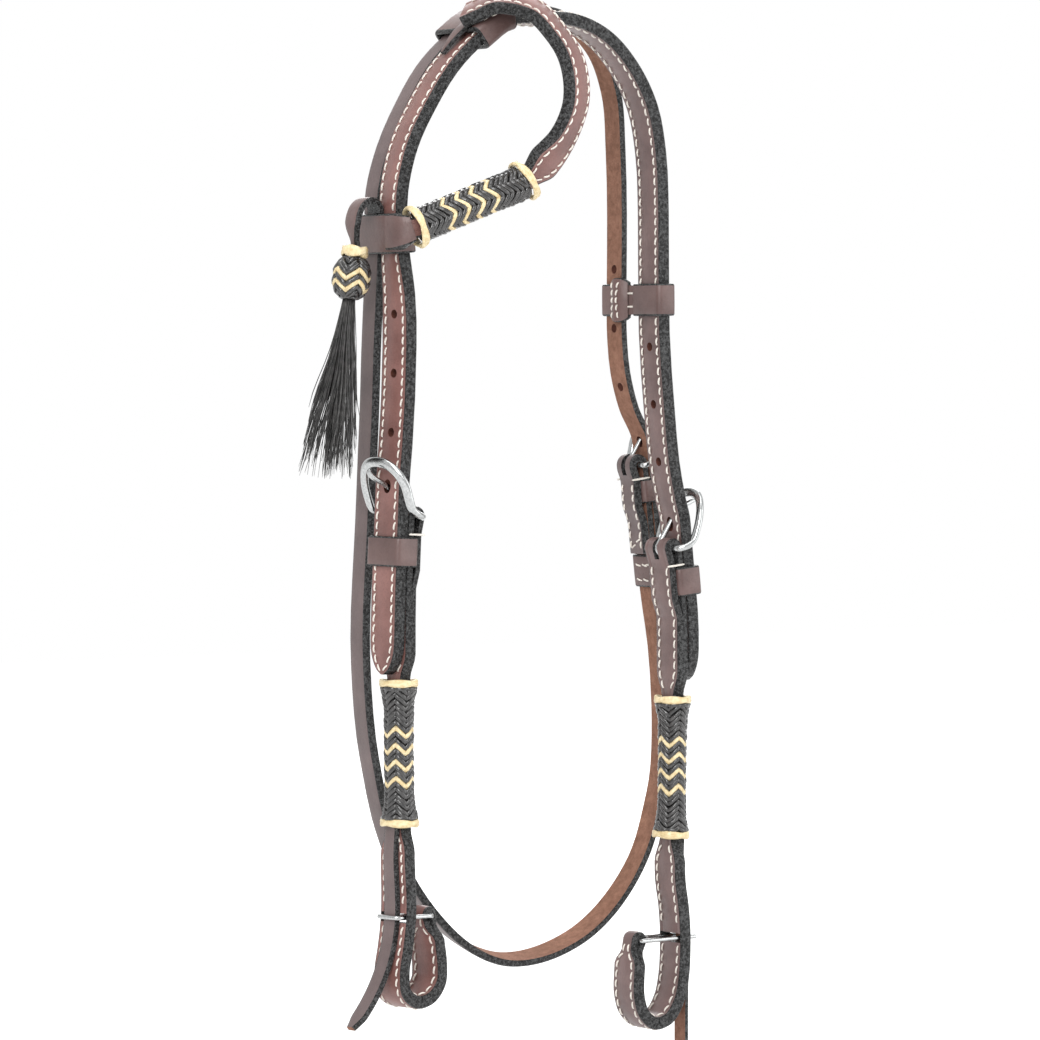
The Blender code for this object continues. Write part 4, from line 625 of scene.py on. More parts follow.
def wire_bars(line, slot_s):
    """Middles of a wire loop's two bars and the axes of the slot between them."""
    place, along, side, out = line.frame(line.length)
    middle = GAP / 2 + PLY / 2
    inner_bar = place + out * (middle - WIRE_RADIUS - GAP - PLY / 2)
    gate, gate_along, gate_side, gate_out = line.frame(slot_s)
    tab_low = GAP / 2 + PLY + GAP
    front_bar = gate + gate_out * (tab_low + TAB_PLY + GAP + WIRE_RADIUS)
    return inner_bar, front_bar, gate_along, gate_side


def wire_loop(line, slot_s):
    """Closed line of the wire: two bars joined by two legs."""
    inner_bar, front_bar, gate_along, across = wire_bars(line, slot_s)
    corner = WIRE_RADIUS * WIRE_CORNER_SHARE
    reach = unit(inner_bar - front_bar)
    loop = []
    for centre, way in ((front_bar, reach), (inner_bar, -reach)):
        first = -1 if centre is front_bar else 1
        for sign_across, order in ((first, (0, 1, 2)), (-first, (2, 1, 0))):
            for k in order:
                angle = math.pi / 2 * k / 2
                reach_out = WIRE_HALF_WIDTH - corner + corner * math.cos(angle)
                loop.append(centre + across * sign_across * reach_out + way * corner * (1 - math.sin(angle)))
    return loop


def tab_line(prefix, line, braid_s, slot_s, tab_length):
    """Route of the tab that locks the wire loop."""
    tab_low = GAP / 2 + PLY + GAP
    start = braid_s + BRAID_LENGTH / 2 + 2 * GAP
    points, sides = [], []
    bend_start = slot_s + STRAP_WIDTH * TAB_BEND_SHARE
    for s in line.stations(start=start, end=bend_start, extra=[slot_s]):
        place, along, side, out = line.frame(s)
        points.append(place + out * (tab_low + TAB_PLY / 2))
        sides.append(side)
    place, along, side, out = line.frame(bend_start)
    hang = tab_length - (bend_start - start)
    lean = unit(along + out * TAB_LEAN_SHARES[prefix])
    base = place + out * (tab_low + TAB_PLY / 2)
    for share in TAB_HANG_SHARES:
        points.append(base + along * hang * share * (1 - share) + lean * hang * share * share)
        sides.append(side)
    return Route(points, nearest_side(points, sides))


def tab_width(tab_route, s):
    """Narrow under the rawhide ring, full at the wire, pointed at the end."""
    neck = np.interp(s, [RING_TALL, RING_TALL + STRAP_WIDTH / 2], [TAB_NECK, TAB_WIDTH])
    left = tab_route.length - s
    return min(neck, TAB_WIDTH * max(TIP_BLUNT_SHARE, min(1.0, left / TAB_POINT)) ** 0.8)


def nearest_side(points, sides):
    points = np.array(points)

    def side_at(place, way, share):
        return sides[int(np.argmin(np.linalg.norm(points - place, axis=1)))]
    return side_at


def throat_stack(centre, up):
    return Stack(centre, up, np.array([1.0, 0.0, 0.0]), width=THROAT_WIDTH, ply=THROAT_PLY,
                 billet=THROAT_PLY, bar=THROAT_BAR_RADIUS, tongue=THROAT_TONGUE_RADIUS,
                 half_width=THROAT_BUCKLE_HALF_WIDTH, height=THROAT_BUCKLE_HEIGHT,
                 rise=THROAT_BUCKLE_RISE, band=THROAT_BAND_HALF_WIDTH, lean=THROAT_TONGUE_LEAN)


def throat_route(steps=7):
    """One strap from its folded end down under the throat, over the poll and to its billet."""
    def spot(shares):
        return np.array([HALF_SPAN * shares[0], STRAP_WIDTH * shares[1], DROP * shares[2]])

    tilt = math.radians(THROAT_STACK_TILT)
    up = np.array([-math.sin(tilt), 0.0, math.cos(tilt)])
    billet_centre = spot(THROAT_STACK_SHARES) + np.array([1.0, 0.0, 0.0]) * (THROAT_PLY + GAP)
    stack = throat_stack(billet_centre, up)
    middle = stack.ply_middle
    keeper_in = -1.5 * GAP - KEEPER_WALL - THROAT_PLY / 2
    fold_in = stack.bar_out - stack.fold_radius
    keeper_low = THROAT_KEEPER_DROP + THROAT_KEEPER_WIDTH / 2 + 4 * GAP
    keeper_high = THROAT_KEEPER_DROP - THROAT_KEEPER_WIDTH / 2 - 4 * GAP
    points = []
    join = keeper_low + THROAT_PLY * THROAT_JOIN_SHARE
    ease = -stack.fold_radius * FOLD_EASE_SHARE
    for down, out in ((THROAT_TURNBACK, -middle), ((THROAT_TURNBACK + join) / 2, -middle), (join, -middle),
                      (keeper_low, keeper_in), (keeper_high, keeper_in)):
        points.append(stack.point(0.0, -down, out))
    points.append(stack.point(0.0, ease, fold_in))
    points += fold_points(stack, math.pi, 0.0, steps)
    points.append(stack.point(0.0, ease, middle))
    loop_end = LOOP_KEEPER_DROP + LOOP_KEEPER_WIDTH / 2
    points += stack_points(stack, [-loop_end * share for share in THROAT_BACK_SHARES], middle)
    points += [spot(shares) for shares in THROAT_LOWER_SHARES]
    rises = [STRAP_WIDTH * share for share in THROAT_BILLET_UPS_SHARES]
    points += stack_points(stack, rises + [-DROP * THROAT_BILLET_TIP_SHARE], stack.billet_middle)
    return Route(points, rolled(np.array([0.0, 1.0, 0.0]), THROAT_ROLL_SHARES)), stack


def slider_place(crown, throat):
    """Axes on the crown strap, and the throat billet's place seen from there."""
    place, along, side, out = crown.frame(crown.at_height(-SLIDER_DROP, last=True))
    across = np.array([0.0, 1.0, 0.0])
    matrix = axes_matrix(across, -along, np.cross(across, -along), place)
    beside = throat.frame(throat.at_height(-SLIDER_DROP, last=True))[0]
    return matrix, matrix.inverted() @ Vector(beside)


def sleeve_room(crown, throat, middle, width):
    """Frames along a sleeve on the crown strap, and the room that both straps take in it."""
    stops = [middle + width * share for share in SLEEVE_STEP_SHARES]
    frames = [crown.frame(s) for s in stops]
    edge_x, top, bottom = 0.0, PLY + GAP / 2, -PLY - GAP / 2
    for place, along, side, out in frames:
        nearest = int(np.argmin(np.linalg.norm(throat.place - (place + side * STRAP_WIDTH), axis=1)))
        offset = throat.place[nearest] - place
        edge_x = max(edge_x, float(offset @ side) + THROAT_WIDTH / 2)
        top = max(top, float(offset @ out) + THROAT_PLY / 2)
        bottom = min(bottom, float(offset @ out) - THROAT_PLY / 2)
    return frames, edge_x, bottom, top


def ear_line(crown, throat):
    """Route of the ear strap, from the top of one sleeve to the front of the other."""
    s_low = crown.at_height(-EAR_LOWER_DROP)
    s_top = crown.s[int(np.argmin(np.abs(crown.place[:, 0] + EAR_TOP_SPAN)))]
    top = sleeve_room(crown, throat, s_top, EAR_TOP_WRAP_WIDTH)[3] + EAR_WRAP_PLAY + EAR_WRAP_WALL
    place, along, side, out = crown.frame(s_top)
    points = [place + along * STRAP_WIDTH * x + side * STRAP_WIDTH * y + out * (top + GAP + PLY + GAP / 2)
              for x, y in EAR_START_SHARES]
    points += [np.array([HALF_SPAN * x, HALF_SPAN * y, DROP * z]) for x, y, z in EAR_ROUTE_SHARES]
    keys = [key for key, side in EAR_SIDE_SHARES]
    axes = np.array([side for key, side in EAR_SIDE_SHARES])
    axes[0] = along * axes[0][0] + side * axes[0][1]
    axes[1] = axes[0]

    def side_at(place, way, share):
        return np.array([np.interp(share, keys, axes[:, axis]) for axis in range(3)])

    return Route(points, side_at, twist=EAR_TURN), s_low, s_top


def ear_stops(route):
    """Arc lengths of the ear braid's ends and of its two rings."""
    braid_end = route.length - EAR_TAIL
    braid_start = braid_end - EAR_BRAID_LENGTH
    return braid_start, braid_end, braid_start - GAP - RING_TALL / 2, braid_end + GAP + RING_TALL / 2


def hanger_line(crown, s_low):
    """Route of the tassel's hanger and the axes that the tassel hangs by."""
    place, along, side, out = crown.frame(s_low + EAR_WRAP_WIDTH / 2 + GAP)
    down = np.array([0.0, 0.0, -1.0])
    outward = unit(np.array([out[0], out[1], 0.0]))
    forward = np.cross(down, outward)
    wall = PLY + GAP / 2 + EAR_WRAP_PLAY + EAR_WRAP_WALL / 2
    base = place + out * wall + side * HANGER_BACK
    points = [base + outward * HANGER_REACH * reach + down * HANGER_FALL * fall
              for reach, fall in HANGER_ROUTE_SHARES]

    def across_at(spot, way, share):
        return -forward

    swing = math.radians(TASSEL_LEAN)
    fall = unit(down * math.cos(swing) + outward * math.sin(swing))
    flat = unit(outward - fall * float(outward @ fall))
    return Route(points, across_at, turn=2 * TURN), fall, flat


# Shown straps
FINE = 3.2                 # degrees between stations of a shown strap
FINE_TWIST = 2.0           # degrees of twist between them
NEAR = 0.00003             # the shown plies lie closer than the solids
SECTION_ROUND = 0.0010     # of a ply's corners on the grain side
CORNER_SHARE = 0.30        # of that rounding, where its middle point lies
SECTION_RISE = 0.00012     # of the grain's middle
GROOVE_HALF = 0.0007
GROOVE_DEPTH = 0.00022
GROOVE_ROOM = 0.0016       # least half width inside a groove, else there is none
SECTION_LOOKS = [1] * 3 + [0] * 8 + [1] * 3      # edge, grain, edge
TIP_LINE_SHARES = (0.02, 0.06, 0.12, 0.2, 0.3, 0.42, 0.56, 0.75, 1.0)
TIP_END_SHARE = 0.10
TIP_FULLNESS = 0.62
EDGE_STEP = 0.004          # between the points that a row of stitches follows
CROWN_EDGE_STEP = 0.0015   # finer, for the rounded points
HOLE_SIDES = 20
HOLE_DEPTH = 5 * PLY
THROAT_HOLE_DEPTHS = (2.4 * THROAT_PLY, 2.2 * THROAT_PLY)   # the one in use, and the spare ones
LINING_OVERRUN = 0.0001    # of the ear's lining, past the ring that hides its end
SAME_PLACE = 0.00001       # points nearer than this are one

# Thread
THREAD = 0.00046           # its radius
STITCH_INSET = 0.00315     # edge of the strap to the stitches
STITCH_PITCH = 0.0049
STITCH_LENGTH = 0.0040
STITCH_SLANT = 0.00035     # of each end, to the side
STITCH_SINK = 0.0006       # of each end, into the leather
STITCH_SIDES = 6
STITCH_PROFILE = (         # along the stitch, how far sunk and raised, and how thick
    (0.0, 1.0, 0.0, 0.55), (0.06, 0.1, 0.0, 0.85), (0.25, 0.0, 0.55, 1.0), (0.5, 0.0, 0.75, 1.0),
    (0.75, 0.0, 0.55, 1.0), (0.94, 0.1, 0.0, 0.85), (1.0, 1.0, 0.0, 0.55),
)
FOLD_THREAD_SHARE = 1.15   # of the thread's radius
THREAD_SPREAD = (0.92, 1.08)       # of the radius, from stitch to stitch
SLANT_SPREAD = 0.5

# Braids and rings
CORE_STEPS = 20
CORE_SIDES = 24
CORE_INSET = 0.0019        # from the braid's surface
LEG_COLUMNS = 8
LEG_STEPS = 7
LEG_SIDES = 8
LEG_PITCH = 0.00264
LEG_OVERLAP = 0.20         # how far a leg runs under the next one, as a share of a column
LEG_RISE = 0.0050          # of a leg across its column
LEG_LIFT = 0.00042         # how unevenly the legs stand out
LEG_SHAKE = 0.16           # and how unevenly they are spaced, as a share of the pitch
LEG_DIP = 0.0010           # of a leg's ends, under the next ones
LEG_HALF_WIDTH = 0.435     # as a share of the pitch
LEG_HALF_THICK = 0.00098
LEG_END_SHARE = 0.35
LEG_WIDTH_SPREAD = (0.92, 1.06)
LEG_DIP_START = 0.75       # where a leg starts to dip, from its middle
LEG_DIP_RUN = 0.4
PLAIN_ROWS = {"left": (8, 11, 14, 17), "right": (7, 10, 13, 16), "ear": (7, 10, 13, 16), "knot": (3, 5)}
BRAID_PHASES = {"left": 0.160, "right": 0.02, "ear": 0.0}
RING_STEPS = 72
RING_TURNS = 2             # how often its two strands cross
RING_INSET_SHARE = 0.52    # of the wall, to the strands' middle
RING_WAVE_SHARES = (0.14, 0.07)    # along and through
RING_LEAN = 0.22
RING_STRAND_SHARES = (0.40, 0.33)  # of the wall and of the height
STRAND_SIDES = 12

# Bands of leather: outwards as a share of the wall, and along as a share of the width
KEEPER_SOFT = 0.0006
KEEPER_PROFILE = ((0.0, -0.5), (0.35, -0.5), (0.8, -0.485), (1.0, -0.44), (1.03, -0.2),
                  (1.03, 0.2), (1.0, 0.44), (0.8, 0.485), (0.35, 0.5), (0.0, 0.5))
SLEEVE_SOFT = 0.0016
SLEEVE_PROFILE = ((0.0, 0.5), (0.45, 0.5), (0.85, 0.485), (1.0, 0.45), (1.03, 0.22), (1.03, 0.0),
                  (1.03, -0.22), (1.0, -0.45), (0.85, -0.485), (0.45, -0.5), (0.0, -0.5))

# Cheek straps
FLESH_SINK = 0.00011       # of the shown underside below the solid's
FOLD_CLEAR = 0.0105        # no stitches so near the buckle's bar
RING_CLEAR = 0.0015        # nor so near a rawhide ring
LEAST_REACH = 0.0016       # from the middle of a narrow strap to its stitches
WIRE_CLEAR = 6 * THREAD
FOLD_THREAD_LEVEL = -0.0085
SHOWN_TAB_SHARES = (0.50, 1.6)     # width of a tab's blunt end, and how soon it fills out

# Throatlatch
NUDGE = (0.00120, -0.00080, 0.0)   # toward the left crown limb
NUDGE_HEIGHT = -0.205
NUDGE_REACH = 0.085
THROAT_STITCH = {"pitch": 0.0043, "length": 0.0034}
THROAT_STITCH_INSET = 0.0021
THROAT_STITCH_START = 0.0022
THROAT_STITCH_STOP = 0.0085
THROAT_STITCH_SKEW = 0.006
THROAT_FOLD_LEVEL = -0.0068
LOOP_STITCH = {"pitch": 0.0040, "length": 0.0032}
LOOP_STITCH_SHARES = (-0.27, 0.18)

# Buckle tongues
TONGUE_REACH_SHARE = 1.03
SHOWN_TIP_SHARES = (1.0, 0.88)
EYE_FULLNESS = 1.24        # of the flattened eye across the slot

# Double keeper
WEB_HALF = 0.0072
WEB_FACE = -2 * KEEPER_WALL        # outwards from the crown's middle
WEB_STITCH_RISE = 0.0033
TAB_STEPS = 16
TAB_REACH = 0.0052
TAB_ROWS = ((0.86, -0.06), (0.40, 0.10))
TAB_STITCH = {"pitch": 0.0036, "length": 0.0029}
TAB_STITCH_SHARE = 0.42    # of the tab's height
TAB_FRONT_SHARE = 0.96     # of it, on the grain side
TAB_ROUND_SHARE = 0.20     # what the tab's ends are lower than its middle
TAB_ROUND_POWER = 2.5
TAB_CORNER_SHARE = 0.3     # of the wall
TAB_FRONT_SHARES = (2.2, 1.2, 0.6)   # of the wall: how far out the front starts and ends, and its bulge
TAB_STEEPNESS = 1.6

# Ear strap
EAR_WAIST_SHARES = (1.0, 0.85, 0.7, 0.55, 0.4, 0.25, 0.1, 0.0)
EAR_LEAST_REACH = 0.0012
EAR_STITCH_ENDS = (0.003, 0.001)   # from the top end and from the waist
NECK_WALL = 0.0014
NECK_HALF = 0.0086
NECK_SPREAD_SHARE = 0.5    # of its length, to its full width
TOP_END_LENGTH = 0.026
TOP_END_WIDTH = 0.0105
TOP_END_TIP = 0.0026
TOP_END_PLY = 0.0018
TOP_END_DRIFT = 0.002
TOP_END_FREE_SHARE = 0.42  # of its length, before it settles on the crown
TOP_END_RISE_SHARE = 1.06  # of the wrap's wall, over its own leather
TOP_END_SETTLE_SHARE = 0.8

# Tassel
HANGER_GAP = 0.0013
HAIR_CLUMPS = 34
HAIRS_IN_CLUMP = 9
HAIR_STEPS = 8
HAIR_RADIUS = 0.00020
HAIR_ROOT = 0.004          # length of hair inside the knot
HAIR_TURNS = (0.0, 2.094, 4.189)   # a hair's section has three sides
HAIR_WAVE = 0.0020                 # of a whole clump
HAIR_CURL = 0.0012                 # of one hair
HAIR_SHORTER = (0.30, 0.22)        # the most that a clump and a hair are shorter
HAIR_SPREADS = (0.30, 0.10)        # of hairs about their clump, round and outwards
HAIR_THICKNESS = (0.8, 1.3)
HAIR_TIP_SHARE = 0.4
HAIR_FLATNESS = 0.8
HAIR_SIDE_SHARES = (0.8, 0.95)     # of the top radius and of the end's width


class Shape:
    """Collects the faces of one piece, with a material index for each."""

    def __init__(self):
        self.verts, self.faces, self.looks = [], [], []

    def rings(self, rings, look=0, closed=False, looks=None):
        base, count = len(self.verts), len(rings[0])
        for ring in rings:
            self.verts += [tuple(point) for point in ring]
        for i in range(len(rings) if closed else len(rings) - 1):
            first, second = base + i * count, base + (i + 1) % len(rings) * count
            for k in range(count):
                m = (k + 1) % count
                self.faces.append((first + k, first + m, second + m, second + k))
                self.looks.append(looks[k] if looks else look)
        if not closed:
            self.faces.append(tuple(base + k for k in reversed(range(count))))
            self.faces.append(tuple(base + (len(rings) - 1) * count + k for k in range(count)))
            self.looks += [looks[0] if looks else look] * 2

    def build(self, name, body, mats, sharp=38.0):
        """Makes the piece. One called shown_NODE takes that node's place."""
        mesh = bpy.data.meshes.new(name)
        mesh.from_pydata(self.verts, [], self.faces)
        work = bmesh.new()
        work.from_mesh(mesh)
        for face, look in zip(work.faces, self.looks):
            face.material_index = look
        bmesh.ops.recalc_face_normals(work, faces=work.faces)
        work.to_mesh(mesh)
        work.free()
        mesh.shade_smooth()
        mesh.set_sharp_from_angle(angle=math.radians(sharp))
        made = bpy.data.objects.new(name, mesh)
        bpy.context.collection.objects.link(made)
        for item in mats:
            made.data.materials.append(item)
        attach(made, body)
        if name.startswith("shown_"):
            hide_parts(name[len("shown_"):])
        return made


def rng_of(seed):
    return np.random.default_rng(1000 + seed)


def spot_on(matrix, x, y, z):
    return np.array(matrix @ Vector((x, y, z)))


# Materials
PEBBLE_DEPTH = 0.0004
PORE_DEPTH = 0.0002
FIBRE_DEPTH = 0.0012
NAP_DEPTH = 0.0004
RELIEF_DEPTH = 0.0003


def set_inputs(node, values):
    for key, value in values.items():
        node.inputs[key.replace("_", " ")].default_value = value
    return node


def nodes_of(name, **values):
    """A new material, with the shader's plain inputs set."""
    made = bpy.data.materials.new(name)
    made.use_nodes = True
    tree = made.node_tree
    return made, tree, set_inputs(tree.nodes["Principled BSDF"], values)


def added(tree, kind, **values):
    return set_inputs(tree.nodes.new("ShaderNode" + kind), values)


def link(tree, a, b):
    tree.links.new(a, b)


def noise(tree, scale, detail=4.0, rough=0.55):
    node = added(tree, "TexNoise", Scale=scale, Detail=detail, Roughness=rough)
    link(tree, added(tree, "TexCoord").outputs["Object"], node.inputs["Vector"])
    return node.outputs["Fac"]


def ramp(tree, value, low, dark, high, light):
    """Colour that goes from dark at the low value to light at the high one."""
    node = added(tree, "ValToRGB")
    for element, place, colour in zip(node.color_ramp.elements, (low, high), (dark, light)):
        element.position = place
        element.color = (*colour, 1.0)
    link(tree, value, node.inputs["Fac"])
    return node.outputs["Color"]


def multiplied(tree, factor, a, b):
    node = tree.nodes.new("ShaderNodeMix")
    node.data_type = "RGBA"
    node.blend_type = "MULTIPLY"
    node.inputs["Factor"].default_value = factor
    link(tree, a, node.inputs["A"])
    link(tree, b, node.inputs["B"])
    return node.outputs["Result"]


def bump(tree, value, strength, distance, below=None):
    node = added(tree, "Bump", Strength=strength, Distance=distance)
    link(tree, value, node.inputs["Height"])
    if below is not None:
        link(tree, below, node.inputs["Normal"])
    return node.outputs["Normal"]


def leather_look(name, dark, light, rough):
    """Waxed leather: broad colour drift, fine pores and a pebbled surface."""
    made, tree, shader = nodes_of(name, Specular_IOR_Level=0.5)
    broad = ramp(tree, noise(tree, 38.0, 5.0, 0.6), 0.30, dark, 0.72, light)
    pores = ramp(tree, noise(tree, 1500.0, 3.0, 0.6), 0.30, (0.62, 0.60, 0.60), 0.52, (1.0, 1.0, 1.0))
    link(tree, multiplied(tree, 0.55, broad, pores), shader.inputs["Base Color"])
    patch = added(tree, "MapRange", To_Min=rough - 0.08, To_Max=rough + 0.10)
    link(tree, noise(tree, 160.0, 3.0), patch.inputs["Value"])
    link(tree, patch.outputs["Result"], shader.inputs["Roughness"])
    coarse = bump(tree, noise(tree, 420.0, 3.0), strength=0.35, distance=PEBBLE_DEPTH)
    fine = bump(tree, noise(tree, 1700.0, 2.0), strength=0.30, distance=PORE_DEPTH, below=coarse)
    link(tree, fine, shader.inputs["Normal"])
    return made


def edge_look(name, dark, light):
    """Dyed cut edge: rough, fibrous and speckled."""
    made, tree, shader = nodes_of(name, Roughness=0.26, Specular_IOR_Level=0.24)
    fibres = noise(tree, 800.0, 5.0, 0.70)
    link(tree, ramp(tree, fibres, 0.44, dark, 0.60, light), shader.inputs["Base Color"])
    link(tree, bump(tree, fibres, strength=1.0, distance=FIBRE_DEPTH), shader.inputs["Normal"])
    return made


def flesh_look(name, dark, light):
    """The fibrous flesh side of leather."""
    made, tree, shader = nodes_of(name, Roughness=0.85, Specular_IOR_Level=0.25)
    base = ramp(tree, noise(tree, 260.0, 8.0, 0.8), 0.30, dark, 0.66, light)
    shade = ramp(tree, noise(tree, 45.0, 4.0, 0.6), 0.30, (0.72, 0.70, 0.68), 0.70, (1.0, 1.0, 1.0))
    link(tree, multiplied(tree, 0.8, base, shade), shader.inputs["Base Color"])
    nap = bump(tree, noise(tree, 1100.0, 6.0, 0.7), strength=0.6, distance=NAP_DEPTH)
    link(tree, nap, shader.inputs["Normal"])
    return made


def plain_look(name, dark, light, rough, scale, relief, metallic=0.0, spec=0.5):
    """One noise gives the colour and the relief."""
    made, tree, shader = nodes_of(name, Roughness=rough, Metallic=metallic, Specular_IOR_Level=spec)
    value = noise(tree, scale, 4.0, 0.6)
    link(tree, ramp(tree, value, 0.32, dark, 0.68, light), shader.inputs["Base Color"])
    link(tree, bump(tree, value, relief, RELIEF_DEPTH), shader.inputs["Normal"])
    return made


# The same leather as outer_grain, painted greyer for the sheen on the crown's lining and the right cheek:
# painted sheen.
SHEEN_GRAIN = leather_look("grain_painted_sheen", (0.100, 0.060, 0.056), (0.200, 0.128, 0.121), 0.40)
GRAIN_CROWN = leather_look("outer_grain", (0.140, 0.062, 0.053), (0.280, 0.137, 0.119), 0.40)
DARK = leather_look("keeper_leather", (0.082, 0.046, 0.042), (0.160, 0.098, 0.090), 0.38)
THROAT = leather_look("throat_grain", (0.092, 0.066, 0.065), (0.162, 0.118, 0.115), 0.44)
EDGE = edge_look("dyed_edge", (0.004, 0.004, 0.004), (0.078, 0.079, 0.080))
FLESH = flesh_look("flesh_side", (0.17, 0.080, 0.052), (0.36, 0.190, 0.130))
THREAD_LOOK = plain_look("waxed_thread", (0.64, 0.58, 0.50), (0.90, 0.87, 0.82), 0.65, 2600.0, 0.6)
BLACK_HIDE = plain_look("dyed_rawhide", (0.004, 0.004, 0.004), (0.050, 0.047, 0.046), 0.13, 380.0, 1.0,
                        spec=0.75)
HIDE = plain_look("plain_rawhide", (0.60, 0.45, 0.22), (0.84, 0.72, 0.46), 0.42, 420.0, 0.45)
STEEL = plain_look("satin_steel", (0.33, 0.34, 0.34), (0.50, 0.51, 0.51), 0.20, 900.0, 0.08, metallic=1.0)
HAIR_LOOK = plain_look("black_horsehair", (0.008, 0.008, 0.008), (0.075, 0.072, 0.070), 0.32, 300.0, 0.1)
# Near black and matte, darker than the legs: painted shade that shows in the gaps between the legs of a
# braid.
SHADE_CORE = plain_look("braid_core", (0.004, 0.004, 0.004), (0.012, 0.012, 0.012), 0.8, 400.0, 0.2)
HOLE = flesh_look("punched_hole", (0.05, 0.016, 0.011), (0.13, 0.045, 0.03))


# Straps and thread
def oval(centre, across, through, sides):
    """Ring of points whose half sizes are the lengths of across and through."""
    turns = [2 * math.pi * k / sides for k in range(sides)]
    return [centre + across * math.cos(turn) + through * math.sin(turn) for turn in turns]


def section(width, low, high, grooved):
    """Section of a shown ply: square underneath, rounded and grooved on the grain side."""
    half = width / 2
    soft = min(SECTION_ROUND, half / 3)
    corner, flat = CORNER_SHARE * soft, half - soft
    right = [(half, high - soft), (half - corner, high - corner), (flat, high)]
    if grooved and half > STITCH_INSET + GROOVE_ROOM:
        line = half - STITCH_INSET
        right += [(line + GROOVE_HALF, high), (line, high - GROOVE_DEPTH),
                  (line - GROOVE_HALF, high + SECTION_RISE * 0.4)]
    else:
        right += [(0.5 * flat, high + SECTION_RISE * 0.8), (0.25 * flat, high + SECTION_RISE),
                  (0.1 * half, high + SECTION_RISE)]
    left = [(-across, up) for across, up in reversed(right)]
    return [(-half, low), (half, low)] + right + [(0.0, high + SECTION_RISE)] + left


def strap_rings(shape, frames, widths, low, high, inner=1, flip=False, grooved=True):
    """Adds one ply. inner is the material of its underside."""
    rings = []
    for (place, along, side, out), width in zip(frames, widths):
        points = section(width, low, high, grooved)
        if flip:
            points = [(-across, low + high - up) for across, up in points]
        rings.append([place + side * across + out * up for across, up in points])
    shape.rings(rings, looks=[inner] + SECTION_LOOKS)


def capsule(shape, start, end, normal, radius, sink=STITCH_SINK):
    """A short thread lying on a face, its two ends going down into the leather."""
    start, end, normal = np.array(start), np.array(end), unit(np.array(normal))
    way = unit(end - start)
    length = np.linalg.norm(end - start)
    across = unit(np.cross(normal, way))
    rings = []
    for share, sunk, raised, thick in STITCH_PROFILE:
        centre = start + way * length * share + normal * (raised * radius - sunk * sink)
        rings.append(oval(centre, across * radius * thick, normal * radius * thick, STITCH_SIDES))
    shape.rings(rings)


def along_line(value, s, rows):
    return np.array([np.interp(value, s, rows[:, axis]) for axis in range(3)])


def stitch_line(shape, points, normals, pitch=STITCH_PITCH, length=STITCH_LENGTH, seed=1, clear_of=None):
    """Stitches along a line that lies on a face, left out where they would meet the points of clear_of."""
    points, normals = np.array(points), np.array(normals)
    steps = np.linalg.norm(np.diff(points, axis=0), axis=1)
    s = np.concatenate([[0.0], np.cumsum(steps)])
    rng = rng_of(seed)
    count = max(1, int(s[-1] / pitch))
    gap = s[-1] / count
    for k in range(count):
        first = gap * k + (gap - length * gap / pitch) / 2
        last = first + length * gap / pitch
        a, b = along_line(first, s, points), along_line(last, s, points)
        na, nb = unit(along_line(first, s, normals)), unit(along_line(last, s, normals))
        room = length / 2 + WIRE_CLEAR
        if clear_of is not None and np.linalg.norm(clear_of - (a + b) / 2, axis=1).min() < room:
            continue
        across = unit(np.cross(na, unit(b - a)))
        tilt = STITCH_SLANT * (1 + SLANT_SPREAD * rng.uniform(-1, 1))
        capsule(shape, a + across * tilt, b - across * tilt, na + nb, THREAD * rng.uniform(*THREAD_SPREAD))


def edge_points(route, start, end, reach_at, sign, height, step=EDGE_STEP):
    """Points and normals along one side of a strap's face. A height below 0 is the inner face."""
    count = max(2, int(abs(end - start) / step))
    points, normals = [], []
    for k in range(count + 1):
        s = start + (end - start) * k / count
        place, along, side, out = route.frame(s)
        points.append(place + side * sign * reach_at(s) + out * height)
        normals.append(out if height > 0 else -out)
    return points, normals


def both_faces(threads, route, start, end, reach_at, seeds, step=EDGE_STEP):
    """Four rows of stitches: along both edges of a doubled strap, on both faces."""
    for height, seed in zip((GAP / 2 + PLY, -GAP / 2 - PLY), seeds):
        for sign in (-1, 1):
            points, normals = edge_points(route, start, end, reach_at, sign, height, step)
            stitch_line(threads, points, normals, seed=seed + sign)


def finer(route, extra=()):
    route.twist = FINE_TWIST
    return route.stations(extra=extra, turn=FINE)


def tip_steps(point):
    return [point * share for share in TIP_LINE_SHARES]


def rounded(distance, width, point):
    """Width of a strap near its rounded point."""
    share = min(1.0, max(0.0, distance / point))
    return width * (TIP_END_SHARE + (1 - TIP_END_SHARE) * (1 - (1 - share) ** 2) ** TIP_FULLNESS)


def two_ply(names, body, route, stops, width_at, inner_look, end_in=None, holes=()):
    """Outer ply and lining of a doubled strap."""
    for name, low, high, flip, end, grain in (
            (names[0], NEAR, GAP / 2 + PLY, False, None, GRAIN_CROWN),
            (names[1], -GAP / 2 - PLY, -NEAR, True, end_in, inner_look)):
        chosen = [s for s in stops if end is None or s <= end]
        shape = Shape()
        frames, widths = [route.frame(s) for s in chosen], [width_at(s) for s in chosen]
        strap_rings(shape, frames, widths, low, high, flip=flip)
        made = shape.build("shown_" + name, body, [grain, EDGE])
        if holes:
            drill(made, holes)


def plain_strap(name, body, frames, widths, low, high, mats):
    """One ply without grooves. The last material is that of its underside."""
    shape = Shape()
    strap_rings(shape, frames, widths, low, high, len(mats) - 1, grooved=False)
    return shape.build(name, body, mats)


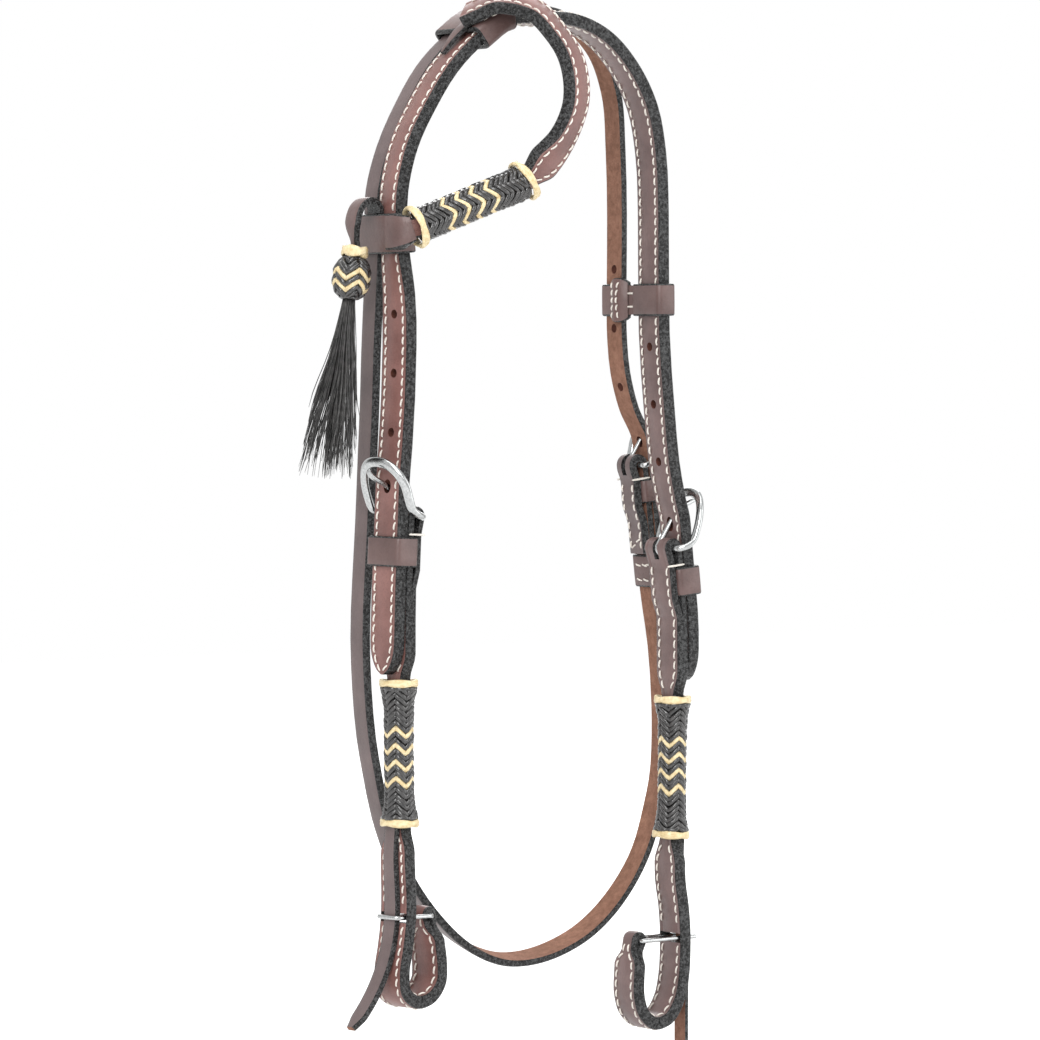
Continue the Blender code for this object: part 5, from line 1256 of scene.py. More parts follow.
def cut_out(carrier, tools):
    """Takes the tools out of the carrier and keeps the result as plain geometry."""
    for tool in tools:
        cutting = carrier.modifiers.new("cut", "BOOLEAN")
        cutting.operation = "DIFFERENCE"
        cutting.solver = "EXACT"
        cutting.object = tool
        cutting.material_mode = "TRANSFER"
    bpy.context.view_layer.update()
    depsgraph = bpy.context.evaluated_depsgraph_get()
    cut_mesh = bpy.data.meshes.new_from_object(carrier.evaluated_get(depsgraph))
    carrier.modifiers.clear()
    carrier.data = cut_mesh
    for tool in tools:
        bpy.data.objects.remove(tool)


def drill(carrier, holes):
    tools = []
    for place, way, radius, depth in holes:
        bpy.ops.mesh.primitive_cylinder_add(vertices=HOLE_SIDES, radius=radius, depth=depth)
        tool = bpy.context.object
        turn = Vector(way).to_track_quat("Z", "Y").to_matrix().to_4x4()
        tool.matrix_world = Matrix.Translation(Vector(place)) @ turn
        tool.data.materials.append(HOLE)
        tools.append(tool)
    cut_out(carrier, tools)


def cut_slots(strap, stack, line=None, slot_s=None):
    """Slots for the tongue's eye and, on a cheek, for the wire loop."""
    low, high = -stack.eye - stack.tongue - 2 * GAP, stack.fold_radius + stack.ply
    back, front = stack.bar_out - stack.fold_radius - stack.ply, GAP + stack.ply
    boxes = [((2 * (stack.tongue + EYE_PLAY + GAP), high - low, front - back),
              stack.matrix() @ Matrix.Translation((0.0, (high + low) / 2, (front + back) / 2)))]
    if line:
        room = 2 * (WIRE_HALF_WIDTH + WIRE_RADIUS + SLOT_PLAY)
        boxes.append(((room, SLOT_HEIGHT, 4 * PLY), slot_axes(line, slot_s)))
    tools = []
    for size, matrix in boxes:
        bpy.ops.mesh.primitive_cube_add(size=1.0)
        tool = bpy.context.object
        for vertex in tool.data.vertices:
            vertex.co = Vector(vertex.co[axis] * size[axis] for axis in range(3))
        tool.matrix_world = matrix
        tool.data.materials.append(EDGE)
        tools.append(tool)
    cut_out(strap, tools)


def billet_holes(stack, route, s_bar, direction, pitch, depth, spare_depth):
    """The hole that the tongue goes through, and the spare ones above it."""
    way = stack.up * math.cos(stack.lean) + stack.out * math.sin(stack.lean)
    place = stack.point(0.0, stack.hole, stack.billet_middle)
    holes = [(place, way, stack.tongue + TONGUE_PLAY, depth)]
    for index in range(1, SPARE_HOLES + 1):
        place, along, side, out = route.frame(s_bar + direction * (stack.hole + pitch * index))
        holes.append((place, out, HOLE_RADIUS, spare_depth))
    return holes


def fold_thread(threads, stack, level, width, back, front):
    """The thread that closes the fold below a buckle, seen on both edges of the strap."""
    for edge in (-1, 1):
        place = edge * (width / 2 + THREAD / 2)
        capsule(threads, stack.point(place, level, back), stack.point(place, level, front),
                stack.across * edge, FOLD_THREAD_SHARE * THREAD, sink=0.0)


# Rawhide, wire and bands
def strand(shape, points, normals, half_width, look):
    """A flattened rawhide strand along points, with its wide side on the surface."""
    rings = []
    last = len(points) - 1
    for i, (point, normal) in enumerate(zip(points, normals)):
        way = unit(points[min(last, i + 1)] - points[max(0, i - 1)])
        normal = unit(normal - way * float(normal @ way))
        thick = LEG_END_SHARE if i in (0, last) else 1.0
        rings.append(oval(point, np.cross(normal, way) * half_width * thick,
                          normal * LEG_HALF_THICK * thick, LEG_SIDES))
    shape.rings(rings, look)


def herringbone(name, body, frame_at, length, radius_at, plain_rows, seed, phase=0.0):
    """Braided cover: legs leaning one way in each column and the other way in the next."""
    shape = Shape()
    rng = rng_of(seed)
    # The core itself is real, but its near-black colour is painted shade in the gaps between the legs.
    core = []
    for k in range(CORE_STEPS + 1):
        place, along, side, out = frame_at(k / CORE_STEPS)
        wide, deep = [size - CORE_INSET for size in radius_at(k / CORE_STEPS)]
        core.append(oval(place, side * wide, out * deep, CORE_SIDES))
    shape.rings(core, 2)
    for row in range(-2, int(length / LEG_PITCH) + 3):
        plain = row in plain_rows
        for column in range(LEG_COLUMNS):
            sign = 1 if column % 2 == 0 else -1
            lift = 0.0 if plain else LEG_LIFT * rng.uniform(0.0, 1.0)
            shake = 0.0 if plain else LEG_SHAKE * rng.uniform(-1.0, 1.0)
            points, normals, shares = [], [], []
            for k in range(LEG_STEPS + 1):
                u = LEG_OVERLAP * (2 * k / LEG_STEPS - 1) + k / LEG_STEPS
                angle = 2 * math.pi * ((column + u) / LEG_COLUMNS + phase)
                height = (row + shake) * LEG_PITCH + LEG_RISE * sign * (u - 0.5)
                share = min(1.0, max(0.0, height / length))
                place, along, side, out = frame_at(share)
                dip = LEG_DIP * max(0.0, abs(2 * u - 1) - LEG_DIP_START) / LEG_DIP_RUN
                depth = LEG_HALF_THICK + LEG_LIFT - lift + dip
                wide, deep = [size - depth for size in radius_at(share)]
                points.append(place + side * wide * math.cos(angle) + out * deep * math.sin(angle))
                normals.append(unit(side * math.cos(angle) + out * math.sin(angle)))
                shares.append(share)
            if shares[-1] != shares[0]:
                half_width = LEG_HALF_WIDTH * LEG_PITCH * rng.uniform(*LEG_WIDTH_SPREAD)
                strand(shape, points, normals, half_width, 1 if plain else 0)
    shape.build(name, body, [BLACK_HIDE, HIDE, SHADE_CORE], sharp=60.0)


def rope_ring(name, body, place, axes, size, tall):
    """Rolled rawhide ring: two strands that cross over each other on the way round."""
    side, out, along = axes
    wide, deep = [half - RING_WALL * RING_INSET_SHARE for half in size]
    shape = Shape()
    for phase in (0.0, math.pi):
        rings = []
        for k in range(RING_STEPS):
            angle = 2 * math.pi * k / RING_STEPS
            wave = RING_TURNS * angle + phase
            normal = unit(side * math.cos(angle) * size[1] + out * math.sin(angle) * size[0])
            centre = place + side * wide * math.cos(angle) + out * deep * math.sin(angle)
            centre = (centre + along * tall * RING_WAVE_SHARES[0] * math.sin(wave)
                      + normal * RING_WALL * RING_WAVE_SHARES[1] * math.cos(wave))
            lean = RING_LEAN * math.cos(wave)
            flat = along * math.cos(lean) + normal * math.sin(lean)
            thick = normal * math.cos(lean) - along * math.sin(lean)
            rings.append(oval(centre, thick * RING_WALL * RING_STRAND_SHARES[0],
                              flat * tall * RING_STRAND_SHARES[1], STRAND_SIDES))
        shape.rings(rings, closed=True)
    shape.build(name, body, [HIDE], sharp=70.0)


def ring_on(name, body, route, s, size):
    """A rawhide ring round a strap, at a place on the strap's route."""
    place, along, side, out = route.frame(s)
    rope_ring(name, body, place, (side, out, along), size, RING_TALL)


def smooth_path(points, closed, parts):
    """Points on a smooth curve through the given ones, with any extra values carried along."""
    points = np.array(points, float)
    count = len(points)
    result = []
    for i in range(count if closed else count - 1):
        a, b = points[i], points[(i + 1) % count]
        before = points[i - 1] if (closed or i) else a
        after = points[(i + 2) % count] if (closed or i + 2 < count) else b
        for k in range(parts):
            u = k / parts
            result.append(0.5 * (2 * a + (b - before) * u + (2 * before - 5 * a + 4 * b - after) * u * u
                                 + (3 * a - before - 3 * b + after) * u**3))
    if not closed:
        result.append(points[-1])
    return np.array(result)


def fine_tube(name, body, rows, closed, first_side, parts, sides):
    """Steel wire or band. rows: x, y, z, radius across, radius through."""
    fine = smooth_path(rows, closed, parts)
    side = np.array(first_side, float)
    rings = []
    count = len(fine)
    for i, row in enumerate(fine):
        before = fine[i - 1] if (closed or i) else row
        after = fine[(i + 1) % count] if (closed or i < count - 1) else row
        way = unit(after[:3] - before[:3])
        side = unit(side - way * float(side @ way))
        rings.append(oval(row[:3], side * row[3], np.cross(way, side) * row[4], sides))
    shape = Shape()
    shape.rings(rings, closed=closed)
    shape.build(name, body, [STEEL], sharp=60.0)


def leather_band(name, body, corners, steps, soft, wall, profile, spot):
    """A closed band round four corners. spot gives a point from across, along and out."""
    rings = []
    for quarter, (x, z) in enumerate(corners):
        for step in range(steps + 1):
            angle = math.pi / 2 * (quarter + step / steps)
            ring = []
            for grow, y in profile:
                radius = soft + wall * grow
                ring.append(spot(x + radius * math.cos(angle), y, z + radius * math.sin(angle)))
            rings.append(ring)
    shape = Shape()
    shape.rings(rings, looks=[1] * 3 + [0] * (len(profile) - 7) + [1] * 4, closed=True)
    shape.build(name, body, [DARK, EDGE], sharp=45.0)


def keeper_band(name, body, matrix, half_x, half_z, width, shift=0.0):
    corners = [(x * (half_x - KEEPER_SOFT), shift + z * (half_z - KEEPER_SOFT))
               for x, z in ((1, 1), (-1, 1), (-1, -1), (1, -1))]
    leather_band(name, body, corners, 5, KEEPER_SOFT, KEEPER_WALL, KEEPER_PROFILE,
                 lambda x, y, z: spot_on(matrix, x, y * width, z))


# The object
crown = crown_route()
(left, left_bar), (right, right_bar) = crown_stack(crown, False), crown_stack(crown, True)
throat, throat_set = throat_route(steps=14)


def show_crown():
    steps = tip_steps(BILLET_POINT)
    stops = finer(crown, steps + [crown.length - step for step in steps])

    def width_at(s):
        return rounded(min(s, crown.length - s), STRAP_WIDTH, BILLET_POINT)

    holes = billet_holes(left, crown, left_bar, 1, HOLE_PITCH, HOLE_DEPTH, HOLE_DEPTH)
    holes += billet_holes(right, crown, right_bar, -1, HOLE_PITCH, HOLE_DEPTH, HOLE_DEPTH)
    # The lining takes the grain that carries the painted sheen.
    two_ply(("crown_outer_ply", "crown_inner_ply"), "headstall", crown, stops, width_at, SHEEN_GRAIN, holes=holes)
    first = next(step for step in np.arange(0.0, BILLET_POINT, THREAD)
                 if width_at(step) / 2 > STITCH_INSET + THREAD)
    threads = Shape()
    both_faces(threads, crown, first, crown.length - first, lambda s: width_at(s) / 2 - STITCH_INSET, (1, 2),
               CROWN_EDGE_STEP)
    threads.build("crown_stitching", "headstall", [THREAD_LOOK])


def cheek_frames(stack, line, braid_s):
    """Frames and widths along one ply, from the lining round the buckle's bar to the bit end."""
    places, sides, widths = cheek_path(stack, line, braid_s, steps=16)
    keep = np.concatenate([[True], np.linalg.norm(np.diff(places, axis=0), axis=1) > SAME_PLACE])
    places = places[keep]
    sides = [side for side, good in zip(sides, keep) if good]
    widths = [width for width, good in zip(widths, keep) if good]
    frames = []
    for place, way, side in zip(places, np.gradient(places, axis=0), sides):
        way = unit(way)
        side = unit(side - way * float(side @ way))
        frames.append((place, way, side, np.cross(way, side)))
    return places, frames, widths


def open_runs(stack, line, braid_s, places):
    """Stretches of a cheek strap that neither the rawhide nor the buckle's fold hides."""
    s = np.concatenate([[0.0], np.cumsum(np.linalg.norm(np.diff(places, axis=0), axis=1))])
    top = stack.origin + stack.up * stack.fold_radius
    bar = s[int(np.argmin(np.linalg.norm(places - top, axis=1)))]
    low = line.frame(braid_s + BRAID_LENGTH / 2 + RING_TALL)[0][2] - RING_CLEAR
    high = line.frame(braid_s - BRAID_LENGTH / 2 - RING_TALL)[0][2] + RING_CLEAR
    runs = [[]]
    for index, z in enumerate(places[:, 2]):
        if abs(s[index] - bar) < FOLD_CLEAR or low < z < high:
            runs.append([])
        else:
            runs[-1].append(index)
    return [run for run in runs if len(run) > 3]


def show_cheek(prefix, stack, tab_length, grain):
    line, braid_s, slot_s = cheek_places(prefix, stack)
    line.turn, line.twist = FINE, FINE_TWIST
    places, frames, widths = cheek_frames(stack, line, braid_s)
    shape = Shape()
    strap_rings(shape, frames, widths, -PLY / 2 - FLESH_SINK, PLY / 2)
    cut_slots(shape.build("shown_%s_cheek_strap" % prefix, "headstall", [grain, EDGE]), stack, line, slot_s)
    loop = wire_loop(line, slot_s)
    wire = smooth_path(loop, True, 6)
    threads = Shape()
    for number, run in enumerate(open_runs(stack, line, braid_s, places)):
        for across in (-1, 1):
            points, normals = [], []
            for index in run:
                place, way, side, out = frames[index]
                reach = across * max(LEAST_REACH, widths[index] / 2 - STITCH_INSET)
                points.append(place + side * reach + out * PLY / 2)
                normals.append(out)
            stitch_line(threads, points, normals, seed=number * 2 + across, clear_of=wire)
    fold_thread(threads, stack, FOLD_THREAD_LEVEL, STRAP_WIDTH, stack.bar_out - stack.fold_radius - PLY / 2,
                GAP / 2 + PLY)
    threads.build(prefix + "_cheek_stitching", "headstall", [THREAD_LOOK])

    def frame_at(share):
        return line.frame(braid_s + BRAID_LENGTH * (share - 0.5))

    def radius_at(share):
        away = min(share, 1 - share) * BRAID_LENGTH
        flare = BRAID_FLARE * max(0.0, 1 - away / BRAID_FLARE_LENGTH) ** 1.5
        return BRAID_HALF_WIDTH + flare, BRAID_HALF_DEPTH + flare

    herringbone("shown_%s_rawhide_braid" % prefix, "headstall", frame_at, BRAID_LENGTH, radius_at,
                PLAIN_ROWS[prefix], 5, BRAID_PHASES[prefix])
    for name, s_ring in (("upper", braid_s - BRAID_LENGTH / 2 - GAP - RING_TALL / 2),
                         ("lower", braid_s + BRAID_LENGTH / 2 + GAP + RING_TALL / 2)):
        ring_on("shown_%s_%s_rawhide_ring" % (prefix, name), "headstall", line, s_ring,
                (RING_HALF_WIDTH, RING_HALF_DEPTH))
    rows = [list(point) + [WIRE_RADIUS, WIRE_RADIUS] for point in loop]
    fine_tube("shown_%s_bit_wire_loop" % prefix, prefix + "_wire", rows, True, line.frame(slot_s)[1], 4, 14)
    tab = tab_line(prefix, line, braid_s, slot_s, tab_length)
    stops = finer(tab, [tab.length - step for step in tip_steps(TAB_POINT)])
    blunt, soon = SHOWN_TAB_SHARES
    fulls = [min(1.0, (tab.length - s) / TAB_POINT * soon) for s in stops]
    widths = [max(tab_width(tab, s), TAB_WIDTH * (blunt + blunt * full)) for s, full in zip(stops, fulls)]
    plain_strap("shown_%s_lock_tab" % prefix, "headstall", [tab.frame(s) for s in stops], widths,
                -TAB_PLY / 2, TAB_PLY / 2, [THROAT, EDGE, FLESH])


def nudged(row):
    """A frame of the throatlatch, moved a little where it runs beside the left crown limb."""
    place, along, side, out = row
    reach = abs(place[2] - NUDGE_HEIGHT) / NUDGE_REACH
    if place[0] > 0.0 or reach > 1.0:
        return row
    return place + np.array(NUDGE) * math.cos(math.pi / 2 * reach) ** 2, along, side, out


def show_throat():
    stops = finer(throat, [throat.length - step for step in tip_steps(THROAT_POINT)])
    widths = [pointed(throat.length - s, THROAT_WIDTH, THROAT_POINT) for s in stops]
    frames = [nudged(throat.frame(s)) for s in stops]
    strap = plain_strap("shown_throatlatch_strap", "headstall", frames, widths, -THROAT_PLY / 2,
                        THROAT_PLY / 2, [THROAT, EDGE, FLESH])
    s_bar = throat.at_height(throat_set.origin[2], last=True)
    holes = billet_holes(throat_set, throat, s_bar, -1, THROAT_HOLE_PITCH, *THROAT_HOLE_DEPTHS)
    drill(strap, holes)
    cut_slots(strap, throat_set)
    threads = Shape()
    reach = THROAT_WIDTH / 2 - THROAT_STITCH_INSET
    for sign in (-1, 1):
        points, normals = edge_points(throat, THROAT_STITCH_START, THROAT_TURNBACK - THROAT_STITCH_STOP,
                                      lambda s: reach, sign, THROAT_PLY / 2)
        stitch_line(threads, points, normals, seed=11 + sign, **THROAT_STITCH)
    place, along, side, out = throat.frame(THROAT_STITCH_START)
    a = place + side * reach + out * THROAT_PLY / 2
    b = place - side * reach + along * THROAT_STITCH_SKEW + out * THROAT_PLY / 2
    stitch_line(threads, [a, b], [out, out], seed=3, **THROAT_STITCH)
    back = throat_set.bar_out - throat_set.fold_radius - THROAT_PLY / 2
    fold_thread(threads, throat_set, THROAT_FOLD_LEVEL, THROAT_WIDTH, back, THROAT_PLY)
    threads.build("throat_stitching", "headstall", [THREAD_LOOK])


def show_buckle(prefix, stack):
    points, wide, thin = buckle_loop(stack)
    rows = [list(p) + [a, b] for p, a, b in zip(points, wide, thin)]
    fine_tube("shown_%s_buckle_frame" % prefix, prefix + "_frame", rows, True, stack.out, 6, 20)
    path = tongue_path(stack)
    tips = TONGUE_TIP_SHARES
    if prefix != "throat":
        path = path[:-2] + [tuple(np.array(path[-2]) * TONGUE_REACH_SHARE)]
        tips = SHOWN_TIP_SHARES
    rows = [list(stack.point(0.0, up, out)) + [stack.tongue, stack.tongue] for up, out in path]
    for row, share in zip(rows[-2:], tips):
        row[3:] = [stack.tongue * share] * 2
    for row, (up, out) in zip(rows, path):
        if up <= stack.eye:
            row[3] = stack.tongue * EYE_FULLNESS
    fine_tube("shown_%s_buckle_tongue" % prefix, prefix + "_tongue", rows, False, stack.across, 4, 14)


def show_keeper(name, stack, width, drop):
    """Makes a keeper, and gives its axes and the level of its inner face."""
    low, high = -GAP / 2, stack.billet_low + stack.billet + GAP
    matrix = stack.matrix() @ Matrix.Translation((0.0, -drop, 0.0))
    keeper_band("shown_" + name, "headstall", matrix, stack.width / 2 + GAP, (high - low) / 2, width,
                (high + low) / 2)
    return matrix, low - KEEPER_WALL


def loop_stitches(matrix, face):
    """Two rows across the inner face of the throat's lower loop."""
    threads = Shape()
    reach = THROAT_WIDTH / 2 - 2 * THREAD
    normal = np.array(matrix.to_3x3() @ Vector((0.0, 0.0, -1.0)))
    for share in LOOP_STITCH_SHARES:
        ends = [spot_on(matrix, x, share * LOOP_KEEPER_WIDTH, face) for x in (-reach, reach)]
        stitch_line(threads, ends, [normal] * 2, seed=17, **LOOP_STITCH)
    threads.build("throat_loop_stitching", "headstall", [THREAD_LOOK])


def tab_front(share, drop):
    """How far the double keeper's tab stands out, over the throatlatch loop and down to the web."""
    first, last, bulge = TAB_FRONT_SHARES
    low, high = -first * KEEPER_WALL, drop - THROAT_PLY / 2 - SLIDER_PLAY - last * KEEPER_WALL
    rise = min(1.0, TAB_STEEPNESS * share)
    return low + (high - low) * rise - bulge * KEEPER_WALL * math.sin(math.pi * share)


def slider_tab(matrix, drop, web, tab):
    """The web between the two loops, and the tab sewn on its end."""
    back = -WEB_FACE / 2
    corners = ((-WEB_HALF, back), (WEB_HALF, back), (WEB_HALF, WEB_FACE), (-WEB_HALF, WEB_FACE))
    shape = Shape()
    rings = [[spot_on(matrix, x, y, z) for y, z in corners] for x in web]
    shape.rings(rings, looks=[0, 1, 0, 1])
    rings = []
    for k in range(TAB_STEPS + 1):
        share = k / TAB_STEPS
        x = tab[0] + (tab[1] - tab[0]) * share
        tall = SLIDER_TAB_HEIGHT / 2 * (1 - TAB_ROUND_SHARE * abs(2 * share - 1) ** TAB_ROUND_POWER)
        front = tab_front(share, drop)
        back, corner = front + KEEPER_WALL, front + TAB_CORNER_SHARE * KEEPER_WALL
        outline = ((-tall, back), (tall, back), (tall, corner), (tall * TAB_FRONT_SHARE, front),
                   (-tall * TAB_FRONT_SHARE, front), (-tall, corner))
        rings.append([spot_on(matrix, x, y, z) for y, z in outline])
    shape.rings(rings, looks=[1, 1, 1, 0, 1, 1])
    shape.build("double_keeper_tab", "double_keeper", [DARK, EDGE], sharp=45.0)


def slider_threads(matrix, drop, web, tab):
    """Two curved rows on the tab, and two long threads across the web."""
    threads = Shape()
    normal = np.array(matrix.to_3x3() @ Vector((0.0, 0.0, -1.0)))
    for share, bow in TAB_ROWS:
        points = []
        for k in range(TAB_STEPS + 1):
            turn = 2 * k / TAB_STEPS - 1
            place = share + bow * (1 - turn**2)
            points.append(spot_on(matrix, tab[0] + (tab[1] - tab[0]) * place,
                                  TAB_STITCH_SHARE * SLIDER_TAB_HEIGHT * turn, tab_front(place, drop)))
        stitch_line(threads, points, [normal] * len(points), seed=21, **TAB_STITCH)
    for level in (-WEB_STITCH_RISE, WEB_STITCH_RISE):
        a, b = [spot_on(matrix, x, level, WEB_FACE) for x in (web[0], tab[0] + KEEPER_WALL)]
        capsule(threads, a, b, normal, THREAD, sink=0.0)
    threads.build("double_keeper_stitching", "double_keeper", [THREAD_LOOK])


def show_slider():
    matrix, offset = slider_place(crown, throat)
    keeper_band("shown_double_keeper", "double_keeper", matrix, STRAP_WIDTH / 2 + SLIDER_PLAY,
                (2 * PLY + GAP) / 2 + SLIDER_PLAY, SLIDER_WIDTH)
    keeper_band("double_keeper_throat_loop", "double_keeper",
                matrix @ Matrix.Translation((offset.x, 0.0, offset.z)), THROAT_WIDTH / 2 + SLIDER_PLAY,
                THROAT_PLY / 2 + SLIDER_PLAY, SLIDER_WIDTH)
    web = (STRAP_WIDTH / 2 + SLIDER_PLAY, offset.x - THROAT_WIDTH / 2)
    tab = (web[1] - TAB_REACH, web[1] + TAB_REACH)
    slider_tab(matrix, offset.z, web, tab)
    slider_threads(matrix, offset.z, web, tab)


def show_sleeve(name, middle, width):
    """A wrap of the ear strap, round the crown strap and the throatlatch."""
    edge_x, bottom, top = sleeve_room(crown, throat, middle, width)[1:]
    low_x, high_x = -STRAP_WIDTH / 2 - EAR_WRAP_PLAY, edge_x + EAR_WRAP_PLAY
    low_z, high_z = bottom - EAR_WRAP_PLAY, top + EAR_WRAP_PLAY
    corners = [(x - math.copysign(SLEEVE_SOFT, x), z - math.copysign(SLEEVE_SOFT, z))
               for x, z in ((high_x, high_z), (low_x, high_z), (low_x, low_z), (high_x, low_z))]

    def spot(x, y, z):
        place, along, side, out = crown.frame(middle + width * y)
        return place + side * x + out * z

    leather_band("shown_" + name, "ear", corners, 6, SLEEVE_SOFT, EAR_WRAP_WALL, SLEEVE_PROFILE, spot)


def show_neck(route, start):
    """The wrap's own leather, drawn over the end of the ear strap as far as the lower ring."""
    stops = route.stations(start, route.length, turn=FINE)
    spread = [min(1.0, (s - start) / (NECK_SPREAD_SHARE * (route.length - start))) for s in stops]
    half = EAR_WAIST / 2 + NECK_WALL
    widths = [2 * (half + (NECK_HALF - EAR_WAIST / 2 - NECK_WALL) * share) for share in spread]
    plain_strap("ear_wrap_neck", "ear", [route.frame(s) for s in stops], widths, -GAP / 2 - PLY / 2,
                GAP / 2 + PLY + NECK_WALL, [DARK, EDGE])


def show_top_end(s_top):
    """The pointed end that is pulled through the top wrap and lies on the crown."""
    frames, widths = [], []
    height = GAP / 2 + PLY + EAR_WRAP_PLAY + TOP_END_RISE_SHARE * EAR_WRAP_WALL
    for k in range(TAB_STEPS + 1):
        share = k / TAB_STEPS
        place, along, side, out = crown.frame(s_top - TOP_END_LENGTH * share)
        settle = max(0.0, share - TOP_END_FREE_SHARE) / (1 - TOP_END_FREE_SHARE)
        lift = height - (EAR_WRAP_PLAY + TOP_END_SETTLE_SHARE * EAR_WRAP_WALL) * settle**1.5
        frames.append((place + out * lift + side * TOP_END_DRIFT * share, -along, -side, out))
        widths.append(TOP_END_TIP + (TOP_END_WIDTH - TOP_END_TIP) * (1 - share**2.2))
    plain_strap("ear_top_end", "ear", frames, widths, 0.0, TOP_END_PLY, [DARK, EDGE])


def show_ear():
    """Makes the ear strap, and gives the place of its lower wrap on the crown."""
    route, s_low, s_top = ear_line(crown, throat)
    braid_start, braid_end, ring_a, ring_b = ear_stops(route)
    show_sleeve("ear_lower_wrap", s_low, EAR_WRAP_WIDTH)
    show_sleeve("ear_top_wrap", s_top, EAR_TOP_WRAP_WIDTH)
    waist, neck = ring_a - RING_TALL / 2, ring_b + RING_TALL / 2

    def width_at(s):
        away = min(1.0, max(0.0, (waist - s) / WAIST_TAPER))
        return EAR_WAIST + (EAR_WIDTH - EAR_WAIST) * eased(away)

    stops = finer(route, [waist - WAIST_TAPER * share for share in EAR_WAIST_SHARES] + [neck])
    two_ply(("ear_outer_ply", "ear_lining"), "ear", route, stops, width_at, EDGE,
            end_in=neck + LINING_OVERRUN)
    threads = Shape()
    both_faces(threads, route, EAR_STITCH_ENDS[0], waist - EAR_STITCH_ENDS[1],
               lambda s: max(EAR_LEAST_REACH, width_at(s) / 2 - STITCH_INSET), (31, 41))
    threads.build("ear_stitching", "ear", [THREAD_LOOK])
    show_neck(route, neck)
    show_top_end(s_top)

    def frame_at(share):
        return route.frame(braid_start + EAR_BRAID_LENGTH * share)

    herringbone("shown_ear_rawhide_braid", "ear", frame_at, EAR_BRAID_LENGTH,
                lambda share: (EAR_BRAID_RADIUS, EAR_BRAID_RADIUS), PLAIN_ROWS["ear"], 7, BRAID_PHASES["ear"])
    for name, s in (("upper", ring_a), ("lower", ring_b)):
        ring_on("shown_ear_%s_rawhide_ring" % name, "ear", route, s, (EAR_RING_RADIUS, EAR_RING_RADIUS))
    return s_low


def show_hanger(route):
    stops = [s for s in finer(route) if s < route.length - HANGER_GAP] + [route.length - HANGER_GAP]
    tapers = [min(1.0, max(0.0, (route.length - s) / HANGER_NECK - 1)) for s in stops]
    widths = [HANGER_END_WIDTH + (HANGER_WIDTH - HANGER_END_WIDTH) * taper for taper in tapers]
    plain_strap("shown_tassel_hanger", "ear", [route.frame(s) for s in stops], widths, -HANGER_PLY / 2,
                HANGER_PLY / 2, [DARK, EDGE])


def show_hair(start, fall, flat, wide):
    """Clumps of hairs that spread and sway together, each hair with a curl of its own."""
    rng = rng_of(77)
    shape = Shape()
    for clump in range(HAIR_CLUMPS):
        middle, spread = rng.uniform(0, 2 * math.pi), math.sqrt(rng.uniform(0, 1))
        reach = HAIR_LENGTH * (1.0 - HAIR_SHORTER[0] * rng.uniform(0, 1) ** 2)
        wave, phase = rng.uniform(0.0, HAIR_WAVE), rng.uniform(0, 2 * math.pi)
        for number in range(HAIRS_IN_CLUMP):
            angle = middle + rng.normal(0.0, HAIR_SPREADS[0])
            ring = min(1.0, abs(spread + rng.normal(0.0, HAIR_SPREADS[1])))
            sideways = flat * math.cos(angle) * HAIR_FLATNESS + wide * math.sin(angle)
            top = start - fall * HAIR_ROOT + sideways * HAIR_TOP_RADIUS * HAIR_SIDE_SHARES[0] * ring
            length = min(HAIR_LENGTH, reach * (1.0 - HAIR_SHORTER[1] * rng.uniform(0, 1) ** 2))
            thick = HAIR_RADIUS * rng.uniform(*HAIR_THICKNESS)
            bend, curl = rng.uniform(-0.3, 0.3), rng.uniform(0.0, HAIR_CURL)
            rings = []
            for k in range(HAIR_STEPS + 1):
                u = k / HAIR_STEPS
                away = sideways * HAIR_END_WIDTH * HAIR_SIDE_SHARES[1] * ring * u**1.2
                sway = flat * math.sin(phase + 5 * u) + wide * math.cos(phase + 4 * u)
                own = flat * math.cos(bend + 7 * u) - wide * math.sin(bend + 6 * u)
                centre = top + fall * (length + HAIR_ROOT) * u + away + sway * wave * u + own * curl * u
                size = thick * (1.0 if k < HAIR_STEPS else HAIR_TIP_SHARE)
                rings.append([centre + (flat * math.cos(m) + wide * math.sin(m)) * size for m in HAIR_TURNS])
            shape.rings(rings)
    shape.build("shown_tassel_horsehair", "tassel", [HAIR_LOOK], sharp=180.0)


def show_tassel(s_low):
    route, fall, flat = hanger_line(crown, s_low)
    show_hanger(route)
    end, wide = route.place[-1], np.cross(fall, flat)
    rope_ring("shown_tassel_rawhide_ring", "tassel", end - fall * TASSEL_RING_TALL / 2, (flat, wide, fall),
              (TASSEL_RING_RADIUS, TASSEL_RING_RADIUS), TASSEL_RING_TALL)
    knot_start = end + fall * GAP
    keys, values = zip(*KNOT_PROFILE_SHARES)
    herringbone("shown_tassel_knot", "tassel",
                lambda share: (knot_start + fall * KNOT_HEIGHT * share, fall, flat, wide), KNOT_HEIGHT,
                lambda share: [KNOT_RADIUS * np.interp(share, keys, values)] * 2, PLAIN_ROWS["knot"], 9)
    show_hair(knot_start + fall * (KNOT_HEIGHT + GAP), fall, flat, wide)


show_crown()
show_cheek("left", left, LEFT_TAB_LENGTH, GRAIN_CROWN)
# The right cheek takes the grain that carries the painted sheen.
show_cheek("right", right, RIGHT_TAB_LENGTH, SHEEN_GRAIN)
show_throat()
for prefix, stack in (("left", left), ("right", right), ("throat", throat_set)):
    show_buckle(prefix, stack)
show_keeper("left_cheek_keeper", left, KEEPER_WIDTH, KEEPER_DROP)
show_keeper("right_cheek_keeper", right, KEEPER_WIDTH, KEEPER_DROP)
show_keeper("throat_keeper", throat_set, THROAT_KEEPER_WIDTH, THROAT_KEEPER_DROP)
loop_stitches(*show_keeper("throat_billet_loop", throat_set, LOOP_KEEPER_WIDTH, LOOP_KEEPER_DROP))
show_slider()
show_tassel(show_ear())


